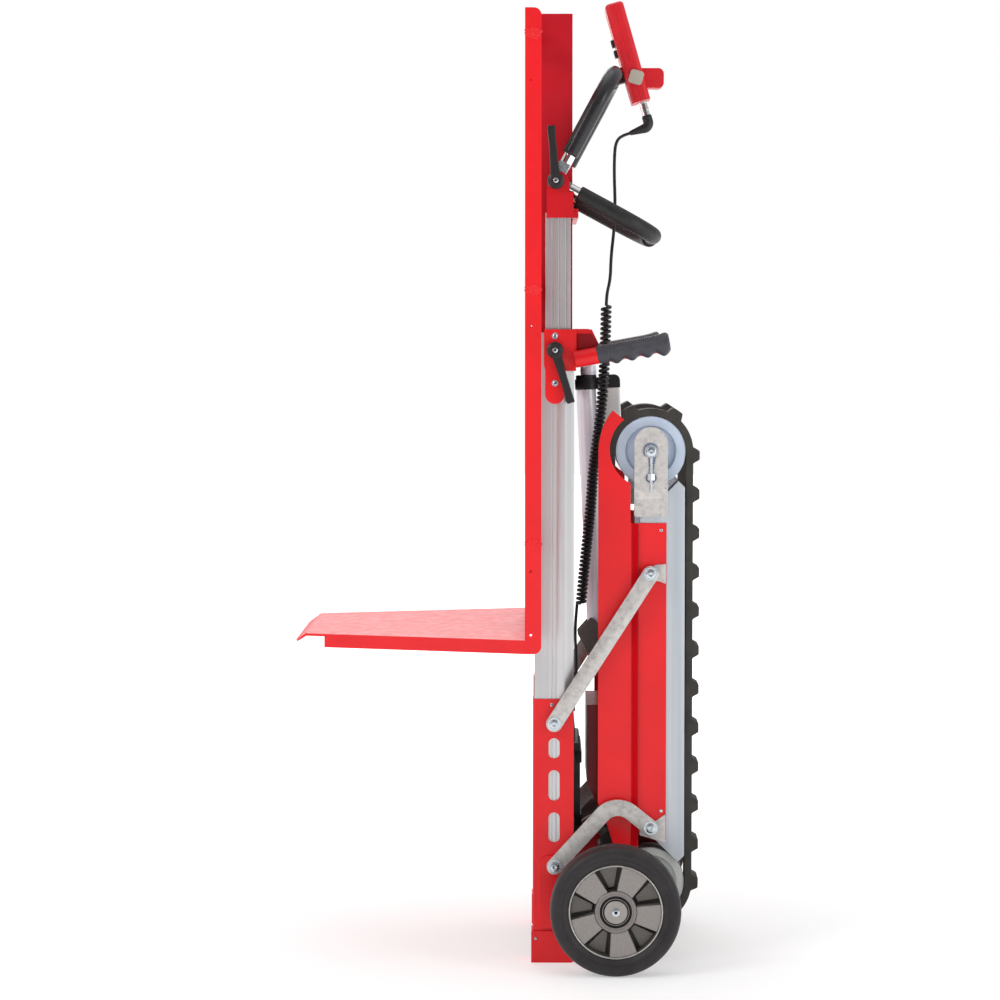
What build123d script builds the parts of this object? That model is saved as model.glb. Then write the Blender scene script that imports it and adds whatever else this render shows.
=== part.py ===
"""Stair-climbing hand truck with a powered load carriage.

Frame: +Z up, +X towards the operator and the crawler tracks, -X towards the load
plate, Y across the machine with the operator's left side at -Y.  All lengths are in
millimetres.  The machine is nearly symmetrical, so most pieces are made on the left
side, at distances measured outwards from the centre plane, and mirrored.
"""
from build123d import *
from math import atan2, cos, degrees, hypot, pi, radians, sin, tan
import os

os.makedirs("parts", exist_ok=True)

# ---------------------------------------------------------------- clearances
RUN = 0.05            # radial clearance of a pin or shaft in its hole
GAP = 0.4             # between pieces that move past each other

# ---------------------------------------------------------------- wheels
wheel_d = 200.0
wheel_w = 50.0
wheel_mid = 245.0     # middle of the tyre from the centre plane
axle_x = 182.6
axle_z = wheel_d / 2
axle_d = 20.0
tyre_wall = 28.0
hub_d = 64.0
bearing_d = 42.0
bearing_w = 12.0
rim_dish = 7.0        # how far the rim face lies inside the tyre's side
spoke_count = 5
spoke_turn = 10.0      # how far the spokes stand round from a symmetrical place
rim_disc = (-2.0, 10.0)   # outboard and inboard faces of the disc from its middle
rim_band_t = 3.0
sector_half = (12.2, 21.8)   # half a sector's width at the hub and at the band
pad_half = (4.0, 14.6)
pad_t = 5.0

# ---------------------------------------------------------------- mast
mast_front = 58.5
mast_depth = 61.0
mast_in = 125.0       # inboard face of an upright from the centre plane
mast_w = 35.0
mast_top = 980.0
mast_wall = 3.0
slide_wall = 6.0      # inboard wall, thick enough for the slide groove
slide_groove_x = 96.0
slide_groove_w = 12.0
slide_groove_depth = 4.0
bevel_x = 105.0       # where the outer face starts to slope back
bevel_drop = 4.5
groove_w = 1.6
groove_depth = 1.0
groove_xs = (86.0, 92.5)

mast_rear = mast_front + mast_depth
mast_out = mast_in + mast_w

inner_front = 75.0
inner_depth = 39.0
inner_w = 22.0
inner_wall = 2.5
inner_bottom = 450.0
inner_top = 1165.0
inner_rear = inner_front + inner_depth
inner_in = mast_in + slide_wall + GAP
inner_out = inner_in + inner_w
inner_mid = (inner_in + inner_out) / 2

# ---------------------------------------------------------------- base
sole_t = 5.0
channel_t = 2.5
channel_front = mast_front - channel_t
channel_top = 412.0
channel_out = mast_out + channel_t
slot_w = 17.5
slot_x = 89.0
slots = ((335.0, 32.0), (277.0, 48.0), (211.5, 47.0))   # middle height, length
shoe_h = 50.0
shoe_floor = 16.0     # thick enough for the rounded rear corner
shoe_corner = 8.0
shoe_wall = 2.5
shoe_out = channel_out + shoe_wall
shoe_in = mast_in - 3.0
axle_plate_t = 5.1
axle_plate_out = channel_out + axle_plate_t
boss_d = 34.0
cross_plate_t = 5.0

# ---------------------------------------------------------------- links
link_in = axle_plate_out + GAP
link_t = 5.0
link_out = link_in + link_t
upper_link_w = 29.0
lower_link_w = 25.0
link_pin_d = 12.0
link_washer_d = 23.0
link_washer_t = 2.0
link_head_d = 14.0
link_head_t = 4.6
pivot_a = (89.0, 374.6)       # upper link on the mast
pivot_b = (238.0, 607.4)      # upper link on the crawler
pivot_c = (90.0, 152.2)       # lower link on the mast
pivot_d = (238.5, 212.9)      # lower link on the crawler
lower_link_peak = (184.3, 255.8)
lower_link_bend = 32.5

# ---------------------------------------------------------------- crawler
idler_x, idler_z = 238.7, 796.3
drive_x, drive_z = 237.5, 122.6
pulley_r = 55.0
belt_t = 11.0
belt_in = 95.0
belt_w = 50.0
belt_out = belt_in + belt_w
cleat_count = 28
cleat_h = 10.0
cleat_base = 26.0
cleat_tip = 14.0
cleat_root = 1.5
belt_cord_depth = 1.0   # the cords that keep the belt's length lie just under its inner face
pulley_in = belt_in + 2.0
pulley_out = belt_out - 2.0
idler_axle_d = 16.0
drive_shaft_d = 20.0
beam_front = 222.0
beam_rear = 291.5
beam_in = 105.0
beam_out = 151.0
beam_wall = 4.0
beam_tip_x = 281.5    # the cut ends run to a point here
beam_tip_z = (drive_z + 33.0, idler_z - 46.0)
side_t = 3.0
side_front = 157.0
side_fold_a = 209.0
side_fold_b = 220.0
side_rear = 263.0
side_step = 4.0       # how far the front panel stands out from the rear one
side_bottom = 190.0
side_shoulder = 685.0
side_toe = 178.0
side_heel = (172.0, 213.0)    # the lower front corner, cut off at a slant
side_chin = 250.0
side_temple = 797.0           # where the front edge starts to lean over the idler
side_brow = (163.5, 832.0)
side_horn_r = 64.5    # inner edge of the horn, about the idler
side_horn_foot_r = 58.5
horn_top = (179.0, 860.0)
cross_tube_d = 30.0
cross_tube_z = (215.0, 460.0)
cross_tube_x = 245.0
housing_half = 88.0
housing_wall = 3.0
housing_front = 141.0
housing_rear = 262.0
housing_top = 393.0
housing_crest = 222.0       # where the top turns down towards the rear
housing_shoulder = 340.0
housing_bottom = 92.0
housing_step = 271.0        # where the front starts to slope back
housing_keel = ((205.0, 92.0), (190.0, 150.0), (157.0, 235.0))
gearbox_half = 30.0
gearbox_reach = 24.0
gearbox_z = (98.0, 190.0)
drive_motor_d = 80.0
drive_motor_half = 55.0
motor_at = (190.0, 300.0)
motor_foot_half = 16.0

# ---------------------------------------------------------------- actuator
act_top = (138.0, mast_top - 38.0)   # pivot on the handle tube
act_end = (160.0, 480.0)      # rod eye on the crawler
act_tube_d = 31.0
act_rod_d = 20.0
act_tube_start = 53.5
act_tube_end = 441.0
act_rod_start = 230.0
act_head_r = 18.5

# ---------------------------------------------------------------- handle at the mast head
handle_tube_d = 26.0
handle_y = 172.0
handle_end = (262.0, mast_top - 15.5)
grip_start = 154.5
grip_d = 29.0
bracket_t = 3.0

# ---------------------------------------------------------------- loops
loop_pivot = (91.0, 1214.0)
loop_tube_d = 19.0
loop_grip_d = 26.0
loop_bend = 62.0
loop_root = 24.0
upper_loop_angle = 61.8
upper_loop_len = 193.0
lower_loop_angle = -28.5
lower_loop_len = 174.0
head_plate_t = 4.0
head_bottom = 1157.0
head_top = 1228.0
lever_d = 26.0
lever_len = 85.0
lever_t = 12.0

# ---------------------------------------------------------------- carriage
rail_front = 44.0
rail_depth = 25.0
rail_t = 3.0
rail_out = 250.0
rail_bottom = 492.0
rail_top = 1470.0
bar_h = 40.0
bar_zs = (659.0, 1045.0, rail_top - 38.0)
rail_hole_d = 3.6
rail_hole_x = 53.0
rail_holes = (521.0, 618.0, 990.0, rail_top - 109.0)
bar_rear = 55.0
guide_in = 91.0
guide_out = 121.0
guide_front = 68.5
guide_rear = 117.0
guide_bottom = 500.0
guide_top = rail_top + 4.0
guide_wall = 2.5
toe_top = 513.0
toe_t = 4.0
toe_front = -297.0
toe_front_half = 154.0
lip_drop = 12.0
lip_len = 17.4
flange_h = 21.0

# ---------------------------------------------------------------- lift screw
screw_x = 76.0
screw_d = 16.0
screw_top = 930.0
nut_h = 34.0
nut_z = bar_zs[0] - nut_h / 2 - 2.0

# ---------------------------------------------------------------- cord
cord_d = 5.0
coil_d = 18.0
cord_y = -50.0


def publish(piece, name):
    """Label one finished piece and write its STEP file."""
    piece.label = name
    export_step(piece, f"parts/{name}.step")


def publish_pair(builder, stem):
    """Write a piece made on the left side and its mirror image on the right."""
    publish(builder.part, f"{stem}_left")
    with BuildPart() as twin:
        mirror(builder.part, about=Plane.XZ)
    publish(twin.part, f"{stem}_right")


def publish_both(name, *builders):
    """Write pieces made on the left side and their mirror images as one node."""
    with BuildPart() as both:
        for builder in builders:
            add(builder.part)
            mirror(builder.part, about=Plane.XZ)
    publish(both.part, name)


def pin(at, diameter, y_from, y_to, mode=Mode.ADD):
    """A round piece across the machine between two distances from the centre plane."""
    with Locations((at[0], -(y_from + y_to) / 2, at[1])):
        Cylinder(diameter / 2, abs(y_to - y_from), rotation=(90, 0, 0), mode=mode)


def block(x_span, y_span, z_span, mode=Mode.ADD):
    """A square-cornered piece; y_span is measured outwards from the centre plane."""
    middle = ((x_span[0] + x_span[1]) / 2, -(y_span[0] + y_span[1]) / 2, (z_span[0] + z_span[1]) / 2)
    with Locations(middle):
        Box(x_span[1] - x_span[0], y_span[1] - y_span[0], z_span[1] - z_span[0], mode=mode)


def hex_head(at, across, y_from, y_to):
    """A hexagon head across the machine."""
    with BuildSketch(Plane.XZ.offset(y_from)) as outline:
        with Locations(at):
            RegularPolygon(across / 2, 6)
    extrude(outline.sketch, amount=y_to - y_from)


def polar(centre, radius, angle):
    """The point at an angle in degrees round a centre."""
    return (centre[0] + radius * cos(radians(angle)), centre[1] + radius * sin(radians(angle)))


# ================================================================ wheels
wheel_plane = Plane(origin=(axle_x, -wheel_mid, axle_z), x_dir=(1, 0, 0), z_dir=(0, 0, 1))
wheel_axis = Axis((axle_x, -wheel_mid, axle_z), (0, 1, 0))
wheel_r = wheel_d / 2
rim_r = wheel_r - tyre_wall
half_w = wheel_w / 2

with BuildPart() as tyre:
    with BuildSketch(wheel_plane):
        with BuildLine():
            Polyline(
                (rim_r, -half_w + 2), (rim_r + 6, -half_w), (wheel_r - 9, -half_w),
                (wheel_r - 2.5, -half_w + 5), (wheel_r, -half_w + 13), (wheel_r, half_w - 13),
                (wheel_r - 2.5, half_w - 5), (wheel_r - 9, half_w), (rim_r + 6, half_w),
                (rim_r, half_w - 2), close=True)
        make_face()
    revolve(axis=wheel_axis)
publish_pair(tyre, "tyre")

rim_face = half_w - rim_dish
band_root = rim_r - rim_band_t - 2
spoke_angle = 360 / spoke_count
with BuildPart() as rim:
    with BuildSketch(wheel_plane):
        with BuildLine():
            Polyline(
                (bearing_d / 2, -half_w + 6), (hub_d / 2, -half_w + 6), (hub_d / 2 + 2, -rim_disc[0]),
                (band_root, -rim_disc[0]), (rim_r - rim_band_t, -half_w + 3), (rim_r, -half_w + 3),
                (rim_r, half_w - 3), (rim_r - rim_band_t, half_w - 3), (band_root, rim_disc[1]),
                (hub_d / 2 + 2, rim_disc[1]),
                (hub_d / 2, half_w - 6), (bearing_d / 2, half_w - 6), close=True)
        make_face()
    revolve(axis=wheel_axis)
    # five broad raised sectors on the outer face, with a lower pad between each two
    for radii, halves, share, height in (
            ((hub_d / 2 - 2, rim_r), sector_half, 3 / 4, rim_face - rim_disc[0]),
            ((hub_d / 2 + 4, rim_r - 4), pad_half, 1 / 4, pad_t)):
        with BuildSketch(Plane.XZ.offset(wheel_mid + rim_disc[0])) as raised:
            with Locations((axle_x, axle_z)):
                with PolarLocations(0, spoke_count, start_angle=spoke_angle * share + spoke_turn):
                    with BuildLine(mode=Mode.PRIVATE) as flanks:
                        Polyline((radii[0], -halves[0]), (radii[1], -halves[1]), (radii[1], halves[1]),
                                 (radii[0], halves[0]), close=True)
                    add(make_face(flanks.edges(), mode=Mode.PRIVATE))
            with Locations((axle_x, axle_z)):
                Circle(rim_r - 1, mode=Mode.INTERSECT)
        extrude(raised.sketch, amount=height)
publish_pair(rim, "rim")

bearing_face = half_w - 6
with BuildPart() as wheel_bearings:
    for start, end in ((-bearing_face, -bearing_face + bearing_w), (bearing_face - bearing_w, bearing_face)):
        pin((axle_x, axle_z), bearing_d, wheel_mid + start, wheel_mid + end)
        pin((axle_x, axle_z), axle_d + 2 * RUN, wheel_mid + start, wheel_mid + end, mode=Mode.SUBTRACT)
publish_pair(wheel_bearings, "wheel_bearings")

axle_end = wheel_mid + bearing_face + GAP
with BuildPart() as wheel_axle:
    pin((axle_x, axle_z), axle_d, channel_out, axle_end)
    pin((axle_x, axle_z), boss_d, axle_plate_out, wheel_mid - bearing_face - GAP)

with BuildPart() as axle_bolt:
    pin((axle_x, axle_z), 36, axle_end, axle_end + 2.5)
    hex_head((axle_x, axle_z), 14, axle_end + 2.5, axle_end + 5)

# ================================================================ mast uprights
with BuildPart() as mast_profile:
    with BuildSketch(Plane.XY.offset(shoe_floor)):
        with BuildLine():
            Polyline((mast_front, -mast_in), (mast_rear, -mast_in), (mast_rear, -mast_out + bevel_drop),
                     (bevel_x, -mast_out), (mast_front, -mast_out), close=True)
        make_face()
        cavity_front = inner_front - GAP
        cavity_depth = inner_depth + 2 * GAP
        cavity_w = inner_w + 2 * GAP
        with Locations((cavity_front + cavity_depth / 2, -inner_mid)):
            Rectangle(cavity_depth, cavity_w, mode=Mode.SUBTRACT)
        front_room = cavity_front - mast_wall - (mast_front + mast_wall)
        with Locations((mast_front + mast_wall + front_room / 2, -inner_mid)):
            Rectangle(front_room, cavity_w, mode=Mode.SUBTRACT)
        with Locations((slide_groove_x, -mast_in - slide_groove_depth / 2)):
            Rectangle(slide_groove_w, slide_groove_depth, mode=Mode.SUBTRACT)
        with Locations([(x, -mast_out + groove_depth / 2) for x in groove_xs]):
            Rectangle(groove_w, groove_depth, mode=Mode.SUBTRACT)
    extrude(amount=mast_top - shoe_floor)
publish_both("mast_profiles", mast_profile)

# ================================================================ base channels and shoes
with BuildPart() as base_channel:
    with BuildSketch(Plane.XZ.offset(mast_out)):
        with Locations(((channel_front + mast_rear) / 2, (shoe_floor + channel_top) / 2)):
            Rectangle(mast_rear - channel_front, channel_top - shoe_floor)
        for middle, length in slots:
            with Locations((slot_x, middle)):
                SlotOverall(length, slot_w, rotation=90, mode=Mode.SUBTRACT)
    extrude(amount=channel_t)
    block((channel_front, mast_front), (mast_in, mast_out), (shoe_floor, channel_top))
    fillet(base_channel.edges().filter_by(Axis.Z).sort_by(Axis.X)[0], channel_t * 0.8)

with BuildPart() as foot_shoe:
    block((channel_front - shoe_wall, mast_rear + shoe_wall), (shoe_in, shoe_out), (0, shoe_h))
    fillet(foot_shoe.edges().filter_by(Axis.Y).group_by(Axis.Z)[0].sort_by(Axis.X)[-1], shoe_corner)
    block((channel_front, mast_rear), (mast_in, channel_out), (shoe_floor, shoe_h), mode=Mode.SUBTRACT)
publish_both("foot_shoes", foot_shoe)

axle_plate_top = 168.0
with BuildPart() as axle_plate:
    with BuildSketch(Plane.XZ.offset(channel_out)) as axle_plate_face:
        with BuildLine():
            Polyline((67, shoe_h + 5), (67, axle_plate_top), (118, axle_plate_top),
                     (axle_x + 22, axle_z + 22), (axle_x + 22, axle_z - 24), (150, shoe_h + 5), close=True)
        make_face()
        fillet(axle_plate_face.vertices().group_by(Axis.Y)[-1].sort_by(Axis.X)[0], 14)
    extrude(amount=axle_plate_t)
    pin((axle_x, axle_z), axle_d, channel_out, axle_plate_out, mode=Mode.SUBTRACT)
publish_both("base_channels", base_channel, axle_plate)

# bottom plate between the shoes and the plate across the backs of the uprights
with BuildPart() as base_plate:
    block((mast_front + 2, mast_rear - 1), (-shoe_in, shoe_in), (sole_t, sole_t + cross_plate_t))

back_plate_z = (60.0, 190.0)
with BuildPart() as back_plate:
    block((mast_rear, mast_rear + cross_plate_t), (-mast_out + bevel_drop, mast_out - bevel_drop), back_plate_z)

# ================================================================ battery case and control box
case_front = 92.0
case_rear = 130.5
case_half = 84.0
case_z = (192.0, 332.0)
case_wall = 2.5
with BuildPart() as battery_case:
    block((case_front, case_rear), (-case_half, case_half), case_z)
    fillet(battery_case.edges().filter_by(Axis.Y), 4)
    block((case_front + case_wall, case_rear - case_wall), (-case_half + case_wall, case_half - case_wall),
          (case_z[0] + case_wall, case_z[1] - case_wall), mode=Mode.SUBTRACT)

with BuildPart() as battery_pack:
    block((case_front + case_wall, case_rear - case_wall), (-case_half + 8, case_half - 8),
          (case_z[0] + case_wall, case_z[1] - 10))
publish(battery_pack.part, "battery_pack")

box_z = (case_z[1], 432.0)
gland_at = (124.5, -45.0)
with BuildPart() as control_box:
    block((case_front, mast_rear), (-case_half, case_half), box_z)
    fillet(control_box.edges().filter_by(Axis.Y).group_by(Axis.Z)[-1], 4)
    block((case_front + case_wall, mast_rear - case_wall), (-case_half + case_wall, case_half - case_wall),
          (box_z[0] + case_wall, box_z[1] - case_wall), mode=Mode.SUBTRACT)
    # the sill behind the box that carries the cord's gland
    block((mast_rear - 8, gland_at[0] + 6.5), (-gland_at[1] - 7, -gland_at[1] + 7), (box_z[1] - 12, box_z[1] - 5))

with BuildPart() as cord_gland:
    with Locations((gland_at[0], gland_at[1], box_z[1] + 1.5)):
        Cylinder(5.5, 13)

with BuildPart() as power_boxes:
    for piece in (battery_case, control_box, cord_gland):
        add(piece.part)
publish(power_boxes.part, "power_boxes")

# straps that carry the case and the box on the inboard faces of the uprights
strap_t = 2.5
case_strap_zs = (210.0, 310.0)
box_strap_zs = (352.0, 400.0)
strap_half = 9.0
with BuildPart() as case_straps:
    for z in case_strap_zs:
        strap_z = (z - strap_half, z + strap_half)
        block((case_rear, case_rear + strap_t), (-case_half, case_half), strap_z)
        for side in (-1, 1):
            flank = sorted((side * case_half, side * (case_half + strap_t)))
            ear = sorted((side * case_half, side * (mast_in + 20)))
            block((mast_rear, case_rear + strap_t), flank, strap_z)
            block((mast_rear, mast_rear + strap_t), ear, strap_z)
    for z in box_strap_zs:
        block((mast_rear, mast_rear + strap_t), (-mast_in - 20, mast_in + 20), (z - strap_half, z + strap_half))

# ================================================================ lift screw drive
lift_box_x = (61.0, 116.0)
lift_box_y = (-68.0, 20.0)
lift_box_z = (sole_t + cross_plate_t, 50.0)
lift_motor_at = (95.0, 40.0)
lift_motor_d = 40.0
lift_motor_top = 145.0
with BuildPart() as lift_gearbox:
    block(lift_box_x, lift_box_y, lift_box_z)
    fillet(lift_gearbox.edges().filter_by(Axis.Z), 5)

with BuildPart() as lift_motor:
    with Locations((*lift_motor_at, (lift_box_z[1] + lift_motor_top) / 2)):
        Cylinder(lift_motor_d / 2, lift_motor_top - lift_box_z[1])

with BuildPart() as lift_gearmotor:
    add(lift_gearbox.part)
    add(lift_motor.part)
publish(lift_gearmotor.part, "lift_gearmotor")

with BuildPart() as lift_screw:
    with Locations((screw_x, 0, (lift_box_z[1] + screw_top) / 2)):
        Cylinder(screw_d / 2, screw_top - lift_box_z[1])
    with Locations((screw_x, 0, lift_box_z[1] + 8)):
        Cylinder(screw_d / 2 + 5, 16)
publish(lift_screw.part, "lift_screw")

arm_t = 8.0
with BuildPart() as screw_bearing:
    block((guide_rear + GAP, mast_rear), (-mast_in, mast_in), (screw_top - 40, screw_top + 8))
    block((screw_x - 14, guide_rear + GAP), (-14, 14), (screw_top - arm_t, screw_top + 8))
    with Locations((screw_x, 0, screw_top + GAP - (arm_t + GAP) / 2)):
        Cylinder(screw_d / 2 + RUN, arm_t + GAP, mode=Mode.SUBTRACT)

with BuildPart() as cross_plates:
    for piece in (base_plate, back_plate, case_straps, screw_bearing):
        add(piece.part)
publish(cross_plates.part, "cross_plates")

# ================================================================ links and their bolts
with BuildPart() as upper_link:
    link_angle = degrees(atan2(pivot_b[1] - pivot_a[1], pivot_b[0] - pivot_a[0]))
    with BuildSketch(Plane.XZ.offset(link_in)):
        with Locations(Location(((pivot_a[0] + pivot_b[0]) / 2, (pivot_a[1] + pivot_b[1]) / 2), link_angle)):
            SlotCenterToCenter(hypot(pivot_b[0] - pivot_a[0], pivot_b[1] - pivot_a[1]), upper_link_w)
        with Locations(pivot_a, pivot_b):
            Circle(link_pin_d / 2 + RUN, mode=Mode.SUBTRACT)
    extrude(amount=link_t)

with BuildPart() as lower_link:
    with BuildSketch(Plane.XZ.offset(link_in)):
        with BuildLine():
            arch = FilletPolyline(pivot_c, lower_link_peak, pivot_d, radius=lower_link_bend)
        trace(line_width=lower_link_w)
        with Locations(pivot_c, pivot_d):
            Circle(lower_link_w / 2)
        with Locations(pivot_c, pivot_d):
            Circle(link_pin_d / 2 + RUN, mode=Mode.SUBTRACT)
    extrude(amount=link_t)
publish_both("lower_links", lower_link)


def link_bolt(at, seat):
    """A shouldered bolt from its seat through a link, with a washer and a hexagon head."""
    if seat < link_in - GAP:
        pin(at, link_washer_d, seat, link_in - GAP)
    pin(at, link_pin_d, min(seat, link_in - GAP), link_out + GAP)
    pin(at, link_washer_d, link_out + GAP, link_out + GAP + link_washer_t)
    head_from = link_out + GAP + link_washer_t
    hex_head(at, link_head_d, head_from, head_from + link_head_t)


with BuildPart() as base_link_bolts:
    link_bolt(pivot_a, channel_out)
    link_bolt(pivot_c, axle_plate_out)
publish_both("base_pivots", base_link_bolts, wheel_axle, axle_bolt)

# plates on the crawler's side panels that carry the links' outer pivots
knuckle_in = beam_out + side_t
knuckle_t = 4.0
knuckle_front = 221.0
knuckle_rear = 262.0
lower_knuckle_z = (187.0, 231.5)
upper_knuckle_z = (591.0, 622.0)
with BuildPart() as lower_knuckle:
    with BuildSketch(Plane.XZ.offset(knuckle_in)) as lower_knuckle_face:
        with BuildLine():
            Polyline((knuckle_front, lower_knuckle_z[0] + 12), (knuckle_rear, lower_knuckle_z[0]),
                     (knuckle_rear, lower_knuckle_z[1]), (knuckle_front, lower_knuckle_z[1] - 26), close=True)
        make_face()
        fillet(lower_knuckle_face.vertices(), 3)
    extrude(amount=knuckle_t)

with BuildPart() as upper_knuckle:
    block((pivot_b[0] - 12, knuckle_rear), (knuckle_in, knuckle_in + knuckle_t), upper_knuckle_z)
    pin(pivot_b, link_washer_d, knuckle_in + knuckle_t, link_in - GAP)

with BuildPart() as crawler_link_bolt:
    link_bolt(pivot_d, knuckle_in + knuckle_t)
publish_both("crawler_link_bolts", lower_knuckle, upper_knuckle, crawler_link_bolt)

with BuildPart() as upper_link_bolt:
    pin(pivot_b, link_pin_d + 2 * RUN, link_in, link_out)
    pin(pivot_b, link_washer_d, link_out, link_out + link_washer_t)
    hex_head(pivot_b, link_head_d, link_out + link_washer_t, link_out + link_washer_t + link_head_t)
publish_both("upper_links", upper_link, upper_link_bolt)

# ================================================================ crawler: side plates and beams
horn_centre = (idler_x, idler_z)
with BuildPart() as track_side:
    # the bent section seen from above: front panel, fold and rear panel
    with BuildSketch(Plane.XY):
        with BuildLine():
            Polyline(
                (side_front, -beam_out - side_step), (side_fold_a, -beam_out - side_step),
                (side_fold_b, -beam_out), (side_rear, -beam_out), (side_rear, -beam_out - side_t),
                (side_fold_b + 1, -beam_out - side_t), (side_fold_a + 1, -beam_out - side_step - side_t),
                (side_front, -beam_out - side_step - side_t), close=True)
        make_face()
    extrude(amount=horn_top[1] + 20)
    with BuildSketch(Plane.XZ.offset(beam_out - 10)):
        with BuildLine():
            horn_tip = polar(horn_centre, side_horn_r, 130)
            horn_foot = polar(horn_centre, side_horn_foot_r, 237.5)
            front_edge = Polyline(
                horn_foot, (horn_foot[0], side_shoulder), (side_rear, side_shoulder), (side_rear, side_bottom),
                (side_fold_b, side_bottom + 11), (side_fold_b, side_toe), (side_heel[0] + 11, side_toe), side_heel,
                (side_front, side_chin), (side_front, side_temple))
            ThreePointArc((side_front, side_temple), side_brow, horn_top)
            Line(horn_top, horn_tip)
            ThreePointArc(horn_tip, polar(horn_centre, side_horn_r - 1, 185), horn_foot)
        make_face()
    extrude(amount=40, mode=Mode.INTERSECT)
publish_both("track_sides", track_side)

with BuildPart() as track_beam:
    with BuildSketch(Plane.XZ.offset(beam_in)):
        with BuildLine():
            Polyline((beam_tip_x, beam_tip_z[0]), (beam_rear, beam_tip_z[0] + beam_rear - beam_tip_x),
                     (beam_rear, beam_tip_z[1] - beam_rear + beam_tip_x), (beam_tip_x, beam_tip_z[1]),
                     (beam_front, beam_tip_z[1] - beam_tip_x + beam_front),
                     (beam_front, beam_tip_z[0] + beam_tip_x - beam_front), close=True)
        make_face()
    extrude(amount=beam_out - beam_in)
    block((beam_front + beam_wall, beam_rear - beam_wall), (beam_in + beam_wall, beam_out - beam_wall),
          (beam_tip_z[0] - 5, beam_tip_z[1] + 5), mode=Mode.SUBTRACT)
    for hub in ((idler_x, idler_z), (drive_x, drive_z)):
        pin(hub, 2 * (pulley_r + 4), beam_in, beam_out - beam_wall, mode=Mode.SUBTRACT)
publish_both("track_beams", track_beam)

# ================================================================ belts
belt_span = hypot(idler_x - drive_x, idler_z - drive_z)
belt_angle = degrees(atan2(idler_z - drive_z, idler_x - drive_x))
belt_middle = ((idler_x + drive_x) / 2, (idler_z + drive_z) / 2)
belt_r = pulley_r + belt_t
belt_cord_r = pulley_r + belt_cord_depth
belt_length = 2 * belt_span + 2 * pi * belt_cord_r


def cleat_place(index):
    """Where one cleat sits on the belt's outer face, and the direction it points."""
    along = index * belt_length / cleat_count
    arc = pi * belt_cord_r
    if along < belt_span:
        spot, turn = (along, -belt_r), -90.0
    elif along < belt_span + arc:
        turn = -90 + degrees((along - belt_span) / belt_cord_r)
        spot = polar((belt_span, 0), belt_r, turn)
    elif along < 2 * belt_span + arc:
        spot, turn = (2 * belt_span + arc - along, belt_r), 90.0
    else:
        turn = 90 + degrees((along - 2 * belt_span - arc) / belt_cord_r)
        spot = polar((0, 0), belt_r, turn)
    spot = (spot[0] - belt_span / 2, spot[1])
    reach = cleat_h / 2 - cleat_root / 2
    spot = polar(spot, reach, turn)
    away = hypot(*spot)
    facing = degrees(atan2(spot[1], spot[0])) + belt_angle
    return polar(belt_middle, away, facing), turn + belt_angle


cleat_side = degrees(atan2(cleat_h + cleat_root, (cleat_base - cleat_tip) / 2))
with BuildPart() as track_belt:
    with BuildSketch(Plane.XZ.offset(belt_in)):
        with Locations(Location(belt_middle, belt_angle)):
            SlotCenterToCenter(belt_span, 2 * belt_r)
        for index in range(cleat_count):
            spot, turn = cleat_place(index)
            with Locations(Location(spot, turn - 90)):
                Trapezoid(cleat_base, cleat_h + cleat_root, cleat_side)
        with Locations(Location(belt_middle, belt_angle)):
            SlotCenterToCenter(belt_span, 2 * pulley_r, mode=Mode.SUBTRACT)
    extrude(amount=belt_w)
publish_pair(track_belt, "track_belt")

# ================================================================ pulleys
pulley_mid = (pulley_in + pulley_out) / 2
with BuildPart() as idler:
    pin((idler_x, idler_z), 2 * (pulley_r - GAP), pulley_in, pulley_out)
    for face, deep in ((pulley_in, 10), (pulley_out, -10)):
        pin((idler_x, idler_z), 77, face, face + deep, mode=Mode.SUBTRACT)
        pin((idler_x, idler_z), 40, face, face + deep)
    pin((idler_x, idler_z), idler_axle_d + 2 * RUN, pulley_in, pulley_out, mode=Mode.SUBTRACT)
publish_both("idlers", idler)

with BuildPart() as drive_pulley:
    pin((drive_x, drive_z), 2 * (pulley_r - GAP), pulley_in, pulley_out)
    for face, deep in ((pulley_in, 8), (pulley_out, -8)):
        pin((drive_x, drive_z), 84, face, face + deep, mode=Mode.SUBTRACT)
        pin((drive_x, drive_z), 44, face, face + deep)
    pin((drive_x, drive_z), drive_shaft_d, pulley_in, pulley_out, mode=Mode.SUBTRACT)
publish_both("drive_pulleys", drive_pulley)

with BuildPart() as drive_shaft:
    pin((drive_x, drive_z), drive_shaft_d, -pulley_out, pulley_out)
publish(drive_shaft.part, "drive_shaft")

# ================================================================ idler tension brackets
tension_t = 3.5
tension_half = 26.0
tension_foot = 696.0
tension_fold = (720.0, 740.0)
with BuildPart() as tension_bracket:
    with BuildSketch(Plane.YZ.offset(idler_x - 40)):
        with BuildLine():
            Polyline(
                (-beam_out, tension_foot), (-beam_out, tension_fold[0]),
                (-beam_out - 3, tension_fold[1]), (-beam_out - 3, idler_z + 45),
                (-beam_out - 3 - tension_t, idler_z + 45), (-beam_out - 3 - tension_t, tension_fold[1]),
                (-beam_out - tension_t, tension_fold[0]), (-beam_out - tension_t, tension_foot), close=True)
        make_face()
    extrude(amount=80)
    with BuildSketch(Plane.XZ.offset(beam_out - 5)):
        with BuildLine():
            Polyline((idler_x - tension_half, idler_z + 12), (idler_x - tension_half, tension_fold[1] - 8),
                     (side_fold_b + 2, tension_fold[0]), (side_fold_b + 2, tension_foot),
                     (idler_x + tension_half, tension_foot), (idler_x + tension_half, idler_z + 12))
            ThreePointArc((idler_x + tension_half, idler_z + 12), (idler_x, idler_z + 12 + tension_half),
                          (idler_x - tension_half, idler_z + 12))
        make_face()
        with Locations((idler_x, idler_z)):
            Circle(idler_axle_d / 2, mode=Mode.SUBTRACT)
    extrude(amount=20, mode=Mode.INTERSECT)

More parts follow.
